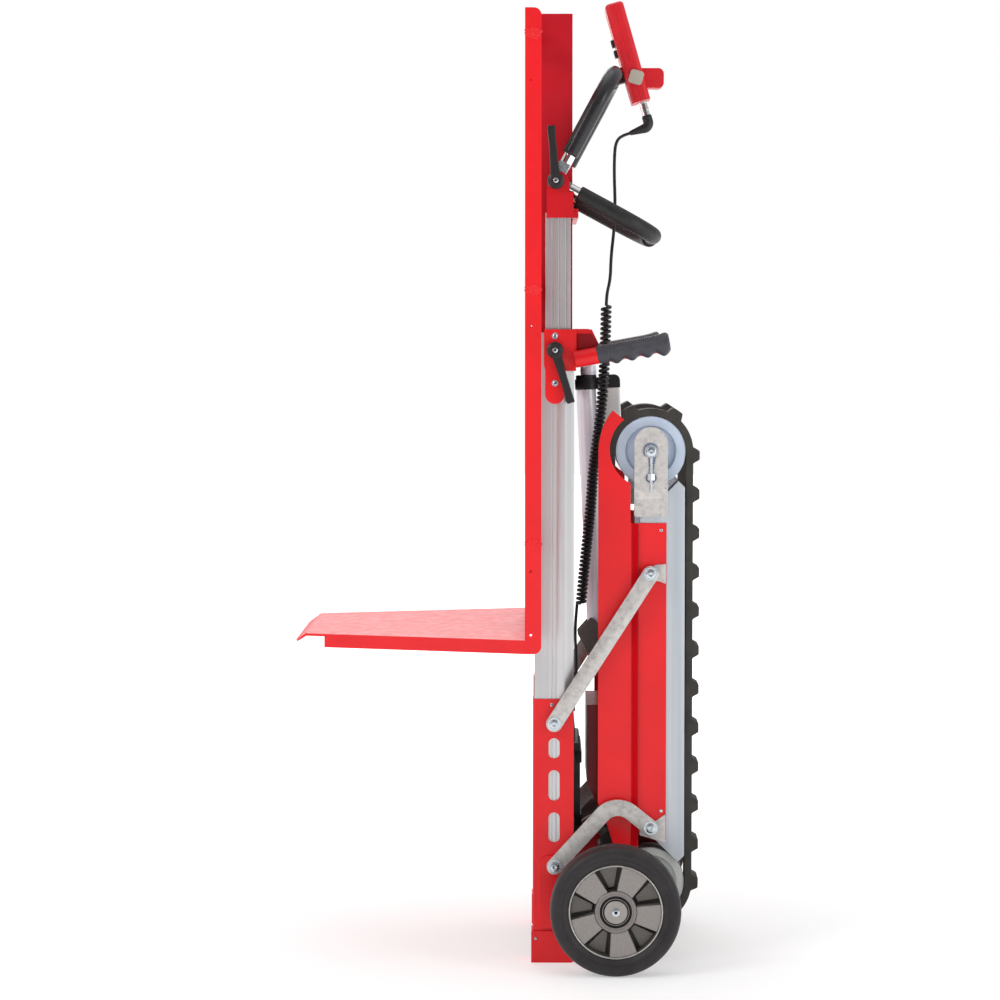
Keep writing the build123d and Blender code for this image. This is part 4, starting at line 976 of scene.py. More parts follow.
# ------------------------------------------------------------------ wheels
@dataclass(frozen=True)
class Wheel:
    """One running wheel: tyre, die-cast rim, hub ring, bearings, seal and shield."""

    side: Side
    axle: Point2 = WHEEL_AXLE
    middle: float = 245.0
    spokes: int = 5
    first_spoke: float = 64.0
    dish: float = -2.0
    spoke_face: float = 18.4

    def across(self, profile: Sequence[Point2]) -> list[Point2]:
        """Turn (outward offset, radius) pairs into (y, radius) pairs."""
        return [(self.side * (self.middle + t), r) for t, r in profile]

    def ring(self, profile: Sequence[Point2], segments: int = 96) -> Work:
        """Turn a closed section about the axle."""
        return Work().turned(self.across(profile), self.axle, closed=True, segments=segments)

    def sector(
        self, centre: float, radii: Point2, halves: Point2, steps: int = 10
    ) -> list[Point2]:
        """Outline of a broad spoke: an arc at each end and straight flanks.

        Args:
            centre: the direction of its middle in degrees.
            radii: its inner and outer radius.
            halves: half its width at each of them.
            steps: points on each arc.

        Returns:
            The outline's points.
        """
        points = []
        for radius, half, order in ((radii[0], halves[0], 1), (radii[1], halves[1], -1)):
            reach = math.degrees(math.asin(half / radius))
            for step in range(steps + 1):
                facing = centre + order * reach * (1 - 2 * step / steps)
                points.append(polar(self.axle, radius, facing))
        return points

    def build(self) -> None:
        """Make every piece of the wheel."""
        tag = self.side.name.lower()
        body = f"wheel_{tag}"
        side_wall = [
            (19.0, 72.0), (21.0, 73.6), (24.2, 78.6), (24.9, 80.8), (24.2, 81.9), (25.0, 83.2),
            (25.0, 90.0), (24.0, 93.5), (21.5, 96.6), (17.5, 98.9), (12.0, 100.0),
        ]
        tyre = side_wall + [(-t, r) for t, r in reversed(side_wall)]
        self.ring(tyre, 144).publish(
            f"tyre_{tag}_moulded", Paintbox.TYRE, body, (f"tyre_{tag}",), smooth=50)
        self.rim(tag, body)
        self.hub(tag, body)

    def rim(self, tag: str, body: str) -> None:
        """Make the casting: band, disc, raised spokes and lower pads."""
        outer = [
            (19.0, 24.6), (18.0, 26.0), (8.0, 33.0), (self.dish, 34.0), (self.dish, 67.0),
            (19.2, 69.6)
        ]
        inner = [(-19.2, 69.6), (-10.0, 67.0), (-10.0, 35.0), (-19.0, 32.0), (-19.0, 24.6)]
        band = [(19.2, 72.0), (-19.2, 72.0)]
        # The disc and band take the darker pit finish: painted shade in the recesses.
        self.ring(outer + band + inner, 120).publish(
            f"rim_{tag}_casting", Paintbox.RIM_PIT_SHADE, body, (f"rim_{tag}",), bevel=0.4, smooth=30)
        lips = Work()
        for out in (1, -1):
            lip = [(19.1, 69.5), (20.4, 70.0), (20.8, 70.8), (20.4, 71.7), (19.1, 72.0)]
            lips.turned(
                self.across([(out * t, r) for t, r in lip]), self.axle, closed=True, segments=144
            )
        lips.publish(f"rim_{tag}_lips", Paintbox.SCUFF, body, smooth=40)
        step = 360 / self.spokes
        raised, pads = Work(), Work()
        depths = (self.dish - 1, self.spoke_face, self.dish + 5)
        floor, face, pad = (self.side * (self.middle + depth) for depth in depths)
        for spoke in range(self.spokes):
            facing = self.first_spoke + spoke * step
            raised.prism(self.sector(facing, (32.0, 69.6), (12.6, 21.2)), floor, face)
            pads.prism(self.sector(facing + step / 2, (36.0, 68.0), (4.2, 14.6)), floor, pad)
        raised.publish(f"rim_{tag}_spokes", Paintbox.RIM, body, bevel=1.1, steps=3)
        pads.publish(f"rim_{tag}_pads", Paintbox.RIM_PAD, body, bevel=1.0, steps=3)

    def hub(self, tag: str, body: str) -> None:
        """Make the machined ring, the bearings, the seal and its shield."""
        ring = [
            (17.0, 24.6), (18.8, 24.6), (18.8, 27.0), (19.5, 27.4), (19.5, 31.4), (18.9, 32.0),
            (self.dish, 34.0)
        ]
        Work().turned(self.across(ring), self.axle, segments=96).publish(
            f"hub_{tag}_ring", Paintbox.HUB, body, smooth=25
        )
        bearings = Work()
        for start, end in ((7.0, 18.2), (-19.0, -7.0)):
            bearings.turned(
                self.across(((start, 10.05), (end, 10.05), (end, 20.9), (start, 20.9))), self.axle,
                closed=True
            )
        bearings.publish(
            f"wheel_{tag}_bearings", Paintbox.SCREW, body, (f"wheel_bearings_{tag}",), bevel=0.5)
        seal = [(17.4, 10.2), (17.4, 24.6), (18.6, 24.5), (18.3, 22.4), (18.3, 10.2)]
        self.ring(seal).publish(f"wheel_{tag}_seal", Paintbox.SEAL, body)
        shield = [(18.2, 19.4), (18.9, 19.6), (18.9, 20.6), (18.2, 20.8)]
        self.ring(shield).publish(f"wheel_{tag}_shield", Paintbox.HUB, body)


# ------------------------------------------------------------------ base and mast
@dataclass(frozen=True)
class Base:
    """Base channels, shoes, uprights, cross plates, electrics and pivots."""

    axle: Point2 = WHEEL_AXLE
    pivot_upper: Point2 = LINK_BASE_UPPER
    pivot_lower: Point2 = LINK_BASE_LOWER
    channel_out: float = 162.5
    shoe_out: float = 165.0
    plate_out: float = 167.6
    link_out: float = 173.4

    def build(self) -> None:
        """Make every piece that stays with the mast."""
        soften("mast_profiles", Paintbox.MAST, "base", 0.35, 2)
        soften("base_channels", Paintbox.RED_COAT, "base", 0.8, 3)
        soften("foot_shoes", Paintbox.RED_COAT, "base", 0.8, 3)
        soften("cross_plates", Paintbox.BLACK_PAINT, "base", 0.5)
        soften("power_boxes", Paintbox.BLACK_PLASTIC, "base", 0.8)
        soften("battery_pack", Paintbox.BATTERY, "base", 1.2)
        soften("lift_gearmotor", Paintbox.BLACK_PAINT, "base", 1.0)
        soften("lift_screw", Paintbox.SCREW, "lift_screw", 0.8)
        self.pivots()
        self.small_screws()

    def pivots(self) -> None:
        """Make the axle stubs, the axle caps and the links' base bolts."""
        stubs, caps, centres, bolts = Work(), Work(), Work(), Work()
        for side in Side:
            stub = [
                (self.channel_out, 0.0), (self.channel_out, 10.0), (self.plate_out, 10.0),
                (self.plate_out, 17.0), (225.0, 17.0), (225.6, 16.4), (225.6, 10.0), (264.4, 10.0),
                (264.4, 0.0)
            ]
            stubs.turned(outward(side, stub), self.axle)
            cap = [(264.4, 0.0), (264.4, 17.6), (266.3, 17.6), (266.9, 17.0), (266.9, 0.0)]
            caps.turned(outward(side, cap), self.axle)
            plain_screw(self.axle, 266.9, 6.6, 2.4, 2.2).cut(centres, side)
            seats = ((self.pivot_upper, self.channel_out), (self.pivot_lower, self.plate_out))
            for at, seat in seats:
                spacer = [
                    (seat, 0.0), (seat, 11.5), (self.plate_out, 11.5), (self.plate_out, 6.0),
                    (self.link_out, 6.0), (self.link_out, 0.0)
                ]
                bolts.turned(outward(side, spacer), at)
                SocketBolt(at, self.link_out).cut(bolts, side)
        stubs.publish("axle_stubs", Paintbox.SCREW, "base", ("base_pivots",), smooth=30)
        caps.publish("axle_caps", Paintbox.CAP, "base", smooth=30)
        centres.publish("axle_bolts", Paintbox.FASTENER, "base", smooth=30)
        bolts.publish("base_link_bolts", Paintbox.FASTENER, "base", smooth=30)

    def small_screws(self) -> None:
        """Make the small screws of the channels and the shoes."""
        screws = Work()
        for side in Side:
            plain_screw((86.0, 403.0), self.channel_out, 3.2, 1.6, 1.2).cut(screws, side)
            plain_screw((60.5, 38.0), self.shoe_out, 2.4, 1.2, 0.9).cut(screws, side)
        screws.publish("channel_screws", Paintbox.FASTENER, "base", smooth=30)


# ------------------------------------------------------------------ links
@dataclass(frozen=True)
class Links:
    """The swinging plates between mast and crawler, with their outer bolts."""

    pivot_upper: Point2 = (238.0, 607.4)
    pivot_lower: Point2 = (238.5, 212.9)
    base_upper: Point2 = LINK_BASE_UPPER
    base_lower: Point2 = LINK_BASE_LOWER
    crown: Point2 = (184.3, 255.8)
    bend: float = 32.5
    width: float = 25.0
    knuckle_upper: Sequence[Point3] = (
        (238, 596, 3), (252, 595, 4), (262, 591, 1), (262, 622, 1), (244, 620, 3)
    )
    knuckle_lower: Sequence[Point3] = (
        (222, 199, 3), (262, 187, 1), (262, 231.5, 1), (247, 221, 4), (222, 207, 3)
    )
    link_in: float = 168.0
    link_out: float = 173.0
    knuckle_in: float = 154.0
    knuckle_t: float = 4.0

    def build(self) -> None:
        """Make both pairs of links and the knuckles that carry them."""
        ribbons, straights, knuckles = Work(), Work(), Work()
        bent = [Vector((x, 0, z)) for x, z in (self.base_lower, self.crown, self.pivot_lower)]
        curved = self.ribbon([(point.x, point.z) for point in filleted(bent, self.bend, 24)])
        straight = self.ribbon([self.base_upper, self.pivot_upper])
        upper, lower = Work(), Work()
        for side in Side:
            ribbons.plate(curved, (), self.link_in, self.link_out, side, 0.5)
            straights.plate(straight, (), self.link_in, self.link_out, side, 0.5)
            out = self.knuckle_in + self.knuckle_t
            for outline in (self.knuckle_upper, self.knuckle_lower):
                knuckles.plate(rounded(outline), (), self.knuckle_in, out, side, 0.4)
            for pivot, work in ((self.pivot_upper, upper), (self.pivot_lower, lower)):
                shank = [
                    (out, 0.0), (out, 11.4), (self.link_in - 0.4, 11.4), (self.link_in - 0.4, 6.0),
                    (self.link_out - 1.0, 6.0), (self.link_out - 1.0, 0.0)
                ]
                work.turned(outward(side, shank), pivot)
                bolt = SocketBolt(pivot, self.link_out + 0.1, head=7.4, head_t=5.0, socket=3.0)
                bolt.cut(work, side)
        ribbons.publish("lower_links_bent", Paintbox.ZINC, "lower_links", ("lower_links",))
        straights.publish("upper_links_plates", Paintbox.ZINC, "upper_links", ("upper_links",))
        knuckles.publish("link_knuckles", Paintbox.ZINC, "crawler", ("crawler_link_bolts",))
        upper.publish("upper_link_bolts", Paintbox.FASTENER, "upper_links", smooth=30)
        lower.publish("lower_link_bolts", Paintbox.FASTENER, "crawler", smooth=30)

    def ribbon(self, line: Sequence[Point2]) -> list[Point2]:
        """Outline of a flat link of even width with round ends.

        Args:
            line: its centre line from one pivot to the other.

        Returns:
            The outline's points.
        """
        half = self.width / 2
        points = [Vector(point) for point in line]
        right, left = [], []
        for index, point in enumerate(points):
            before, after = points[max(0, index - 1)], points[min(len(points) - 1, index + 1)]
            ahead = (after - before).normalized()
            normal = Vector((ahead.y, -ahead.x)) * half
            right.append(tuple(point + normal))
            left.append(tuple(point - normal))
        start, end = points[1] - points[0], points[-1] - points[-2]
        start_turn = math.degrees(math.atan2(start.y, start.x))
        end_turn = math.degrees(math.atan2(end.y, end.x))
        nose = [polar(tuple(points[-1]), half, end_turn + turn) for turn in range(-80, 81, 10)]
        tail = [polar(tuple(points[0]), half, start_turn + turn) for turn in range(100, 261, 10)]
        return right + nose + list(reversed(left)) + tail


# ------------------------------------------------------------------ crawler
@dataclass(frozen=True)
class Crawler:
    """Both tracks with their pulleys, side plates, beams, tensioners and drive."""

    idler: Point2 = (238.7, 796.3)
    drive: Point2 = (237.5, 122.6)
    pulley_radius: float = 55.0
    belt_t: float = 11.0
    belt_in: float = 95.0
    belt_w: float = 50.0
    cord_depth: float = 1.0
    cleats: int = 28
    cleat_h: float = 10.0
    cleat_base: float = 26.0
    cleat_tip: float = 14.0
    cleat_steps: int = 40
    chamfer: float = 1.2
    pulley_middle: float = 120.0
    fold_x: Point2 = (209.6, 218.4)
    fold_z: Point2 = (182.0, 685.4)
    fold_in: float = 157.6
    bracket_in: float = 151.0
    bracket_t: float = 3.5
    bracket_step: float = 6.5
    bracket_bend: Point2 = (738.0, 722.0)
    tension_rod: tuple[float, float, float] = (787.0, 760.0, 733.0)
    tension_nut: Point2 = (762.0, 752.0)

    def build(self) -> None:
        """Make every piece of the crawler."""
        soften("track_sides", Paintbox.RED_COAT, "crawler", 0.7, 2)
        soften("track_beams", Paintbox.BEAM, "crawler", 0.6, 2)
        soften("crawler_frame", Paintbox.EAR, "crawler", 0.5)
        soften("drive_housing", Paintbox.DEEP_RED_AND_SHADE_COAT, "crawler", 1.2)
        soften("drive_gearmotor", Paintbox.BLACK_PAINT, "crawler", 1.0)
        soften("drive_shaft", Paintbox.SCREW, "drive", 0.8)
        self.belts()
        self.pulleys()
        self.tensioners()
        screws = Work()
        for side in Side:
            for at, seat in (((254.6, 674.0), 154.0), ((255.0, 237.0), 158.0)):
                plain_screw(at, seat, 2.8, 1.6, 1.1).cut(screws, side)
        screws.publish("side_plate_screws", Paintbox.FASTENER, "crawler", smooth=30)
        self.fold_shades()

    def fold_shades(self) -> None:
        """Lay a strip of painted shade, with two darker edges of painted shade, over each side
        plate's fold.
        """
        fold_shades, lips = Work(), Work()
        near, far = self.fold_x
        for side in Side:
            fold_shades.plate(self.strip(near, far), (), self.fold_in, self.fold_in + 0.7, side, 0.2)
            # Thin darker edges along the strip: painted shade.
            for x in (209.2, 218.8):
                lips.plate(
                    self.strip(x - 0.6, x + 0.6), (), self.fold_in, self.fold_in + 0.9, side, 0.2
                )
        fold_shades.publish("side_plate_fold_shade", Paintbox.FOLD_SHADE_COAT, "crawler")
        lips.publish("side_plate_fold_edge_shade", Paintbox.DEEP_RED_AND_SHADE_COAT, "crawler")

    def strip(self, near: float, far: float) -> list[Point2]:
        """Outline of an upright strip as long as the fold."""
        low, high = self.fold_z
        return [(near, low), (far, low), (far, high), (near, high)]

    def rise(self, along: float, pitch: float, spread: float) -> float:
        """How far the tread stands out at a place along the belt.

        Args:
            along: distance along the belt's cords.
            pitch: distance between cleats.
            spread: how much longer the outer face is than the cords here.

        Returns:
            The height above the belt's back.
        """
        away = abs((along + pitch / 2) % pitch - pitch / 2) * spread
        share = (self.cleat_base / 2 - away) / ((self.cleat_base - self.cleat_tip) / 2)
        share = max(0.0, min(1.0, share))
        eased = share * share * (3 - 2 * share)
        return self.cleat_h * (0.8 * share + 0.2 * eased)

    def belt_outline(self) -> tuple[list[Point2], list[Point2]]:
        """Points of the tread's face and of the belt's inner face, matched one to one."""
        axis = Vector((self.idler[0] - self.drive[0], self.idler[1] - self.drive[1]))
        span, ahead = axis.length, axis.normalized()
        right = Vector((ahead.y, -ahead.x))
        radius = self.pulley_radius + self.belt_t
        cords = self.pulley_radius + self.cord_depth
        total = 2 * span + 2 * math.pi * cords
        pitch = total / self.cleats
        count = self.cleats * self.cleat_steps
        half_turn = math.pi * cords
        outer, inner = [], []
        for step in range(count):
            along = total * step / count
            spread = radius / cords
            if along < span:
                hub, ray, spread = Vector(self.drive) + ahead * along, right, 1.0
            elif along < span + half_turn:
                hub, turn = Vector(self.idler), (along - span) / cords
                ray = right * math.cos(turn) + ahead * math.sin(turn)
            elif along < 2 * span + half_turn:
                back = along - span - half_turn
                hub, ray, spread = Vector(self.idler) - ahead * back, -right, 1.0
            else:
                hub, turn = Vector(self.drive), (along - 2 * span) / cords
                ray = right * math.cos(turn) + ahead * math.sin(turn)
            outer.append(tuple(hub + ray * (radius + self.rise(along, pitch, spread))))
            inner.append(tuple(hub + ray * self.pulley_radius))
        return outer, inner

    def belts(self) -> None:
        """Make both rubber belts with their cleats and side chamfers."""
        outer, inner = self.belt_outline()
        cut = self.chamfer
        loop = (
            (inner, 0.0, 0.0), (outer, 0.0, cut), (outer, cut, 0.0),
            (outer, self.belt_w - cut, 0.0), (outer, self.belt_w, cut), (inner, self.belt_w, 0.0),
        )
        for side in Side:
            work = Work()
            layers = []
            for points, offset, sink in loop:
                layer = []
                level = side * (self.belt_in + offset)
                for base, spot in zip(map(Vector, inner), map(Vector, points)):
                    if sink:
                        spot -= (spot - base).normalized() * sink
                    layer.append(work.bm.verts.new((spot.x, level, spot.y)))
                layers.append(layer)
            for first, second in zip(layers, layers[1:] + layers[:1]):
                for step in range(len(first)):
                    after = (step + 1) % len(first)
                    work.bm.faces.new((first[step], first[after], second[after], second[step]))
            tag = side.name.lower()
            work.publish(
                f"track_belt_{tag}_moulded", Paintbox.TRACK, "crawler", (f"track_belt_{tag}",),
                smooth=28
            )

    def pulleys(self) -> None:
        """Make the idlers and the drive pulleys."""
        idlers, drives = Work(), Work()
        face = [
            (97.0, 8.05), (97.0, 20.0), (104.0, 21.0), (104.0, 37.5), (97.6, 39.0), (97.0, 40.0)
        ]
        drum = [
            (97.0, 10.0), (97.0, 22.0), (105.0, 23.0), (105.0, 41.0), (97.6, 42.5), (97.0, 43.5)
        ]
        crown = [(97.0, 53.6), (98.2, 54.6)]
        for side in Side:
            pairs = ((idlers, face + crown, self.idler), (drives, drum + crown, self.drive))
            for work, half, axle in pairs:
                back = [(2 * self.pulley_middle - y, radius) for y, radius in reversed(half)]
                work.turned(outward(side, half + back), axle, closed=True, segments=120)
        idlers.publish(
            "idlers_moulded", Paintbox.IDLER, "idlers", ("idlers",), bevel=0.5, smooth=30
        )
        drives.publish(
            "drive_pulleys_moulded", Paintbox.PULLEY, "drive", ("drive_pulleys",), bevel=0.5,
            smooth=30
        )

    def tensioners(self) -> None:
        """Make the folded zinc brackets, the idler axles and the tension rods."""
        x, z = self.idler
        half, throat, neck = 26.0, 3.6, 763.0
        face = self.bracket_in + self.bracket_step
        out = face + self.bracket_t
        bend_top, bend_foot = self.bracket_bend
        outline = [polar((x, z + 12), half, 180 - 10 * step) for step in range(19)]
        outline += [(x + half, 697.0), (x + 24, 695.0), (x - 24, 695.0), (x - half, 697.0)]
        hole = [polar((x - 1, z + 2), 12.2, 15 * step) for step in range(17, -4, -1)]
        hole += [(x + throat, neck)]
        hole += [polar((x, 756.0), 8.4, 60 - 15 * step) for step in range(21)]
        hole += [(x - throat, neck)]
        hexagon = [polar((0, 0), 6.3, 60 * step + 30) for step in range(6)]
        plates, metal = Work(), Work()
        for side in Side:
            plate = Work().plate(outline, (hole,), face, out, side)
            for level in self.bracket_bend:
                bmesh.ops.bisect_plane(
                    plate.bm, geom=plate.bm.verts[:] + plate.bm.edges[:] + plate.bm.faces[:],
                    plane_co=(0, 0, level), plane_no=(0, 0, 1), dist=1e-5)
            for vertex in plate.bm.verts:
                share = min(1.0, max(0.0, (bend_top - vertex.co.z) / (bend_top - bend_foot)))
                vertex.co.y -= side * self.bracket_step * share
            plates.join(plate)
            shoulder = out - self.bracket_t - 0.4
            axle = [
                (88.0, 0.0), (88.0, 13.0), (91.0, 13.0), (91.0, 8.0), (shoulder, 8.0),
                (shoulder, 10.4), (out + 0.8, 10.4), (out + 1.6, 9.8), (out + 1.6, 0.0)
            ]
            metal.turned(outward(side, axle), self.idler)
            plain_screw(self.idler, out + 1.6, 7.6, 4.6, 2.3).cut(metal, side)
            rod = [Vector((x, side * (out + 0.6), level)) for level in self.tension_rod]
            metal.hose(rod, lambda share, angle: 2.4, 20)
            nut = [(x + px, side * (out + 0.6 + py)) for px, py in hexagon]
            metal.plan(nut, *self.tension_nut)
        plates.publish(
            "tension_brackets", Paintbox.ZINC, "crawler", ("idler_tensioners",), smooth=10
        )
        metal.publish("idler_axles", Paintbox.FASTENER, "crawler", smooth=30)


# ------------------------------------------------------------------ actuator
@dataclass(frozen=True)
class Actuator:
    """The electric strut between the handle tube and the crawler."""

    top: Point2 = HANDLE_TUBE
    end: Point2 = (160.0, 480.0)

    def placed(self) -> Matrix:
        """Matrix from the strut's own upright frame, with its pivot at the origin."""
        lean = math.atan2(self.end[0] - self.top[0], self.top[1] - self.end[1])
        return Matrix.Translation((self.top[0], 0, self.top[1])) @ Matrix.Rotation(-lean, 4, "Y")

    def build(self) -> None:
        """Make the gearbox, the motor, the tube and the rod."""
        place = self.placed()
        collar = (
            (0.0, -30.5), (15.6, -30.5), (16.6, -31.5), (16.6, -36.6), (18.0, -37.2),
            (18.5, -38.2), (18.5, -52.6), (17.7, -53.5), (0.0, -53.5)
        )
        box = Work().upright(collar).shift(Matrix.Translation((1.0, 0, 0)))
        box.plan(rounded(((8, -12, 1), (32, -12, 1), (32, 12, 1), (8, 12, 1))), -50.0, -35.0)
        box.shift(place).publish(
            "actuator_gearbox_case", Paintbox.BLACK_PAINT, "actuator", ("actuator_gearbox",), 0.5,
            2
        )
        cap = Work().prism(
            rounded(((22.5, -52.0, 1), (54.4, -52.0, 1), (54.4, -31.5, 11), (22.5, -31.5, 5)), 8),
            -17.5, 17.5
        )
        cap.shift(place).publish(
            "actuator_motor_cap", Paintbox.BLACK_PAINT, "actuator", bevel=2.4, steps=4
        )
        eye = Work()
        eye.turned(
            ((-12.0, 13.05), (12.0, 13.05), (12.0, 18.0), (-12.0, 18.0)), (0.0, 0.0), closed=True
        )
        neck = (
            (0.0, -15.0), (12.4, -15.0), (12.4, -21.6), (12.9, -22.0), (12.9, -26.0),
            (12.4, -26.4), (12.4, -30.4), (0.0, -30.4)
        )
        eye.join(Work().upright(neck).shift(Matrix.Translation((5.0, 0, 0))))
        eye.shift(place).publish("actuator_eye", Paintbox.ACTUATOR, "actuator", bevel=0.5)
        case = rounded(((23.5, -17, 4), (53.5, -17, 4), (53.5, 17, 4), (23.5, 17, 4)))
        motor = Work().plan(case, -163.5, -52.0)
        motor.shift(place).publish(
            "actuator_motor_case", Paintbox.GREY_PAINT, "actuator", ("actuator_motor",), 1.2, 3
        )
        wall = ((15.5, -53.5), (15.5, -436.0), (14.6, -441.0), (10.05, -441.0), (10.05, -53.5))
        tube = Work().upright(wall, closed=True)
        tube.shift(place).publish(
            "actuator_tube_drawn", Paintbox.ACTUATOR, "actuator", ("actuator_tube",), smooth=30
        )
        soften("actuator_rod", Paintbox.CHROME, "actuator_rod", 0.6)


# ------------------------------------------------------------------ handle at the mast head
@dataclass(frozen=True)
class Handle:
    """The red handle frame with its moulded grips, screws and clamp levers."""

    tube_at: Point2 = HANDLE_TUBE
    tip: Point2 = (262.0, 964.5)
    reach: float = 172.0
    grip_from: float = 154.5
    wave_pitch: float = 24.2
    first_wave: float = 29.0
    wave_depth: float = 2.5
    collar: float = 17.0
    rib_pitch: float = 3.4
    rib_height: float = 0.75
    grip_radius: float = 14.0
    lever_at: Point2 = (90.0, 953.0)
    seat: float = 163.4

    def build(self) -> None:
        """Make the frame, the grips and the screws."""
        soften("handle_frame", Paintbox.RED_COAT, "base", 0.6)
        corners = (
            (124.0, 946.0, 1), (157.2, 955.0, 1), (157.2, 963.6, 1), (147.2, 978.6, 1),
            (124.0, 978.6, 1),
        )
        # Thin dark red sheets on the gussets: painted shade, where the gussets lie in shadow.
        gusset_shades = Work()
        for side in Side:
            gusset_shades.plate(rounded(corners, 2), (), 151.1, 151.7, side, 0.25)
        gusset_shades.publish("handle_gusset_shade", Paintbox.DEEP_RED_AND_SHADE_COAT, "base")
        work = Work()
        for side in Side:
            self.grip(work, side)
        work.publish("handle_grips_moulded", Paintbox.GRIP, "base", ("handle_grips",), smooth=60)
        screws = Work()
        for side in Side:
            for at in ((90.0, 975.0), (90.0, 902.0)):
                SocketBolt(at, self.seat - 0.4, 5.0, 1.0, 3.4, 2.0, 1.5).cut(screws, side)
        screws.publish("handle_screws", Paintbox.FASTENER, "base", smooth=30)
        for side in Side:
            name = f"lower_lever_{side.name.lower()}"
            ClampLever(name, self.lever_at, -73.0, self.seat, side).build()

    def grip(self, work: Work, side: Side) -> None:
        """Add one grip: fine rings, finger waves below and a flared end.

        Args:
            work: the mesh that it joins.
            side: the side that it stands on.
        """
        lean = math.atan2(self.tip[1] - self.tube_at[1], self.tip[0] - self.tube_at[0])
        height = self.tube_at[1] + (self.grip_from - self.tube_at[0]) * math.tan(lean)
        start = Vector((self.grip_from, side * self.reach, height))
        heading = Vector((math.cos(lean), 0, math.sin(lean)))
        length = (self.tip[0] - start.x) / math.cos(lean) + 4
        count = 220
        path = [start + heading * length * step / count for step in range(count + 1)]

        def radius(share: float, angle: float) -> float:
            """Radius of the grip at a share of its length and an angle round it."""
            run = share * length
            below = max(0.0, -math.sin(angle))
            above = max(0.0, min(1.0, 0.6 + 1.6 * math.sin(angle)))
            if run > self.collar:
                phase = 2 * math.pi * (run - self.first_wave) / self.wave_pitch
                wave = self.wave_depth * math.cos(phase)
            else:
                wave = -self.wave_depth + self.wave_depth * run / self.collar
            ribbed = 4 < run < 0.84 * length
            crest = 0.5 + 0.5 * math.cos(2 * math.pi * run / self.rib_pitch)
            ribs = self.rib_height * crest * ribbed
            flare = 2.4 * max(0.0, min(1.0, (share - 0.80) / 0.14))
            ends = 3.2 * max(0.0, (share - 0.955) / 0.045) ** 2 + 0.8 * max(0.0, 1 - run / 2.0)
            return self.grip_radius + (1.2 + wave) * below ** 1.4 + ribs * above + flare - ends

        work.hose(path, radius, 48)


@dataclass(frozen=True)
class ClampLever:
    """A black clamp lever with a round head and a flared arm."""

    node: str
    at: Point2
    turn: float
    seat: float
    side: Side
    head: float = 13.0
    arm_from: float = 9.0
    length: float = 85.0
    thick: float = 12.0

    def build(self) -> None:
        """Make the lever and its bolt end."""
        top = self.thick
        turned = [
            (top + 3.2, 0.0), (top + 3.2, 6.05), (0.0, 6.05), (0.0, 12.2), (0.8, self.head),
            (top - 2.4, self.head), (top - 0.8, self.head - 0.9), (top, self.head - 2.8),
            (top + 0.4, 9.4), (top + 3.0, 8.8), (top + 3.6, 8.0), (top + 3.6, 0.0)
        ]
        work = Work().turned(
            [(self.side * (self.seat + t), r) for t, r in turned], self.at, segments=64
        )
        arm = Work()
        ahead = Vector((math.cos(math.radians(self.turn)), math.sin(math.radians(self.turn))))
        right = Vector((ahead.y, -ahead.x))
        left_edge, right_edge = [], []
        for step in range(13):
            share = step / 12
            along = self.arm_from + (self.length - self.arm_from) * share
            half = 7.6 - 2.4 * math.sin(math.pi * min(1.0, share * 1.15) * 0.62) + 0.9 * share
            spot = Vector(self.at) + ahead * along
            left_edge.append(tuple(spot - right * half))
            right_edge.append(tuple(spot + right * half))
        arm.prism(
            left_edge + right_edge[::-1], self.side * (self.seat + 1.5),
            self.side * (self.seat + self.thick - 1.0)
        )
        work.publish(
            f"{self.node}_head", Paintbox.BLACK_PLASTIC, self.node, (self.node,), smooth=35
        )
        arm.publish(f"{self.node}_arm", Paintbox.BLACK_PLASTIC, self.node, bevel=1.8, steps=3)
        insert = Work()
        plain_screw(self.at, self.seat + top + 3.6, 4.4, 1.2, 1.6).cut(insert, self.side)
        insert.publish(f"{self.node}_insert", Paintbox.FASTENER, self.node, smooth=30)


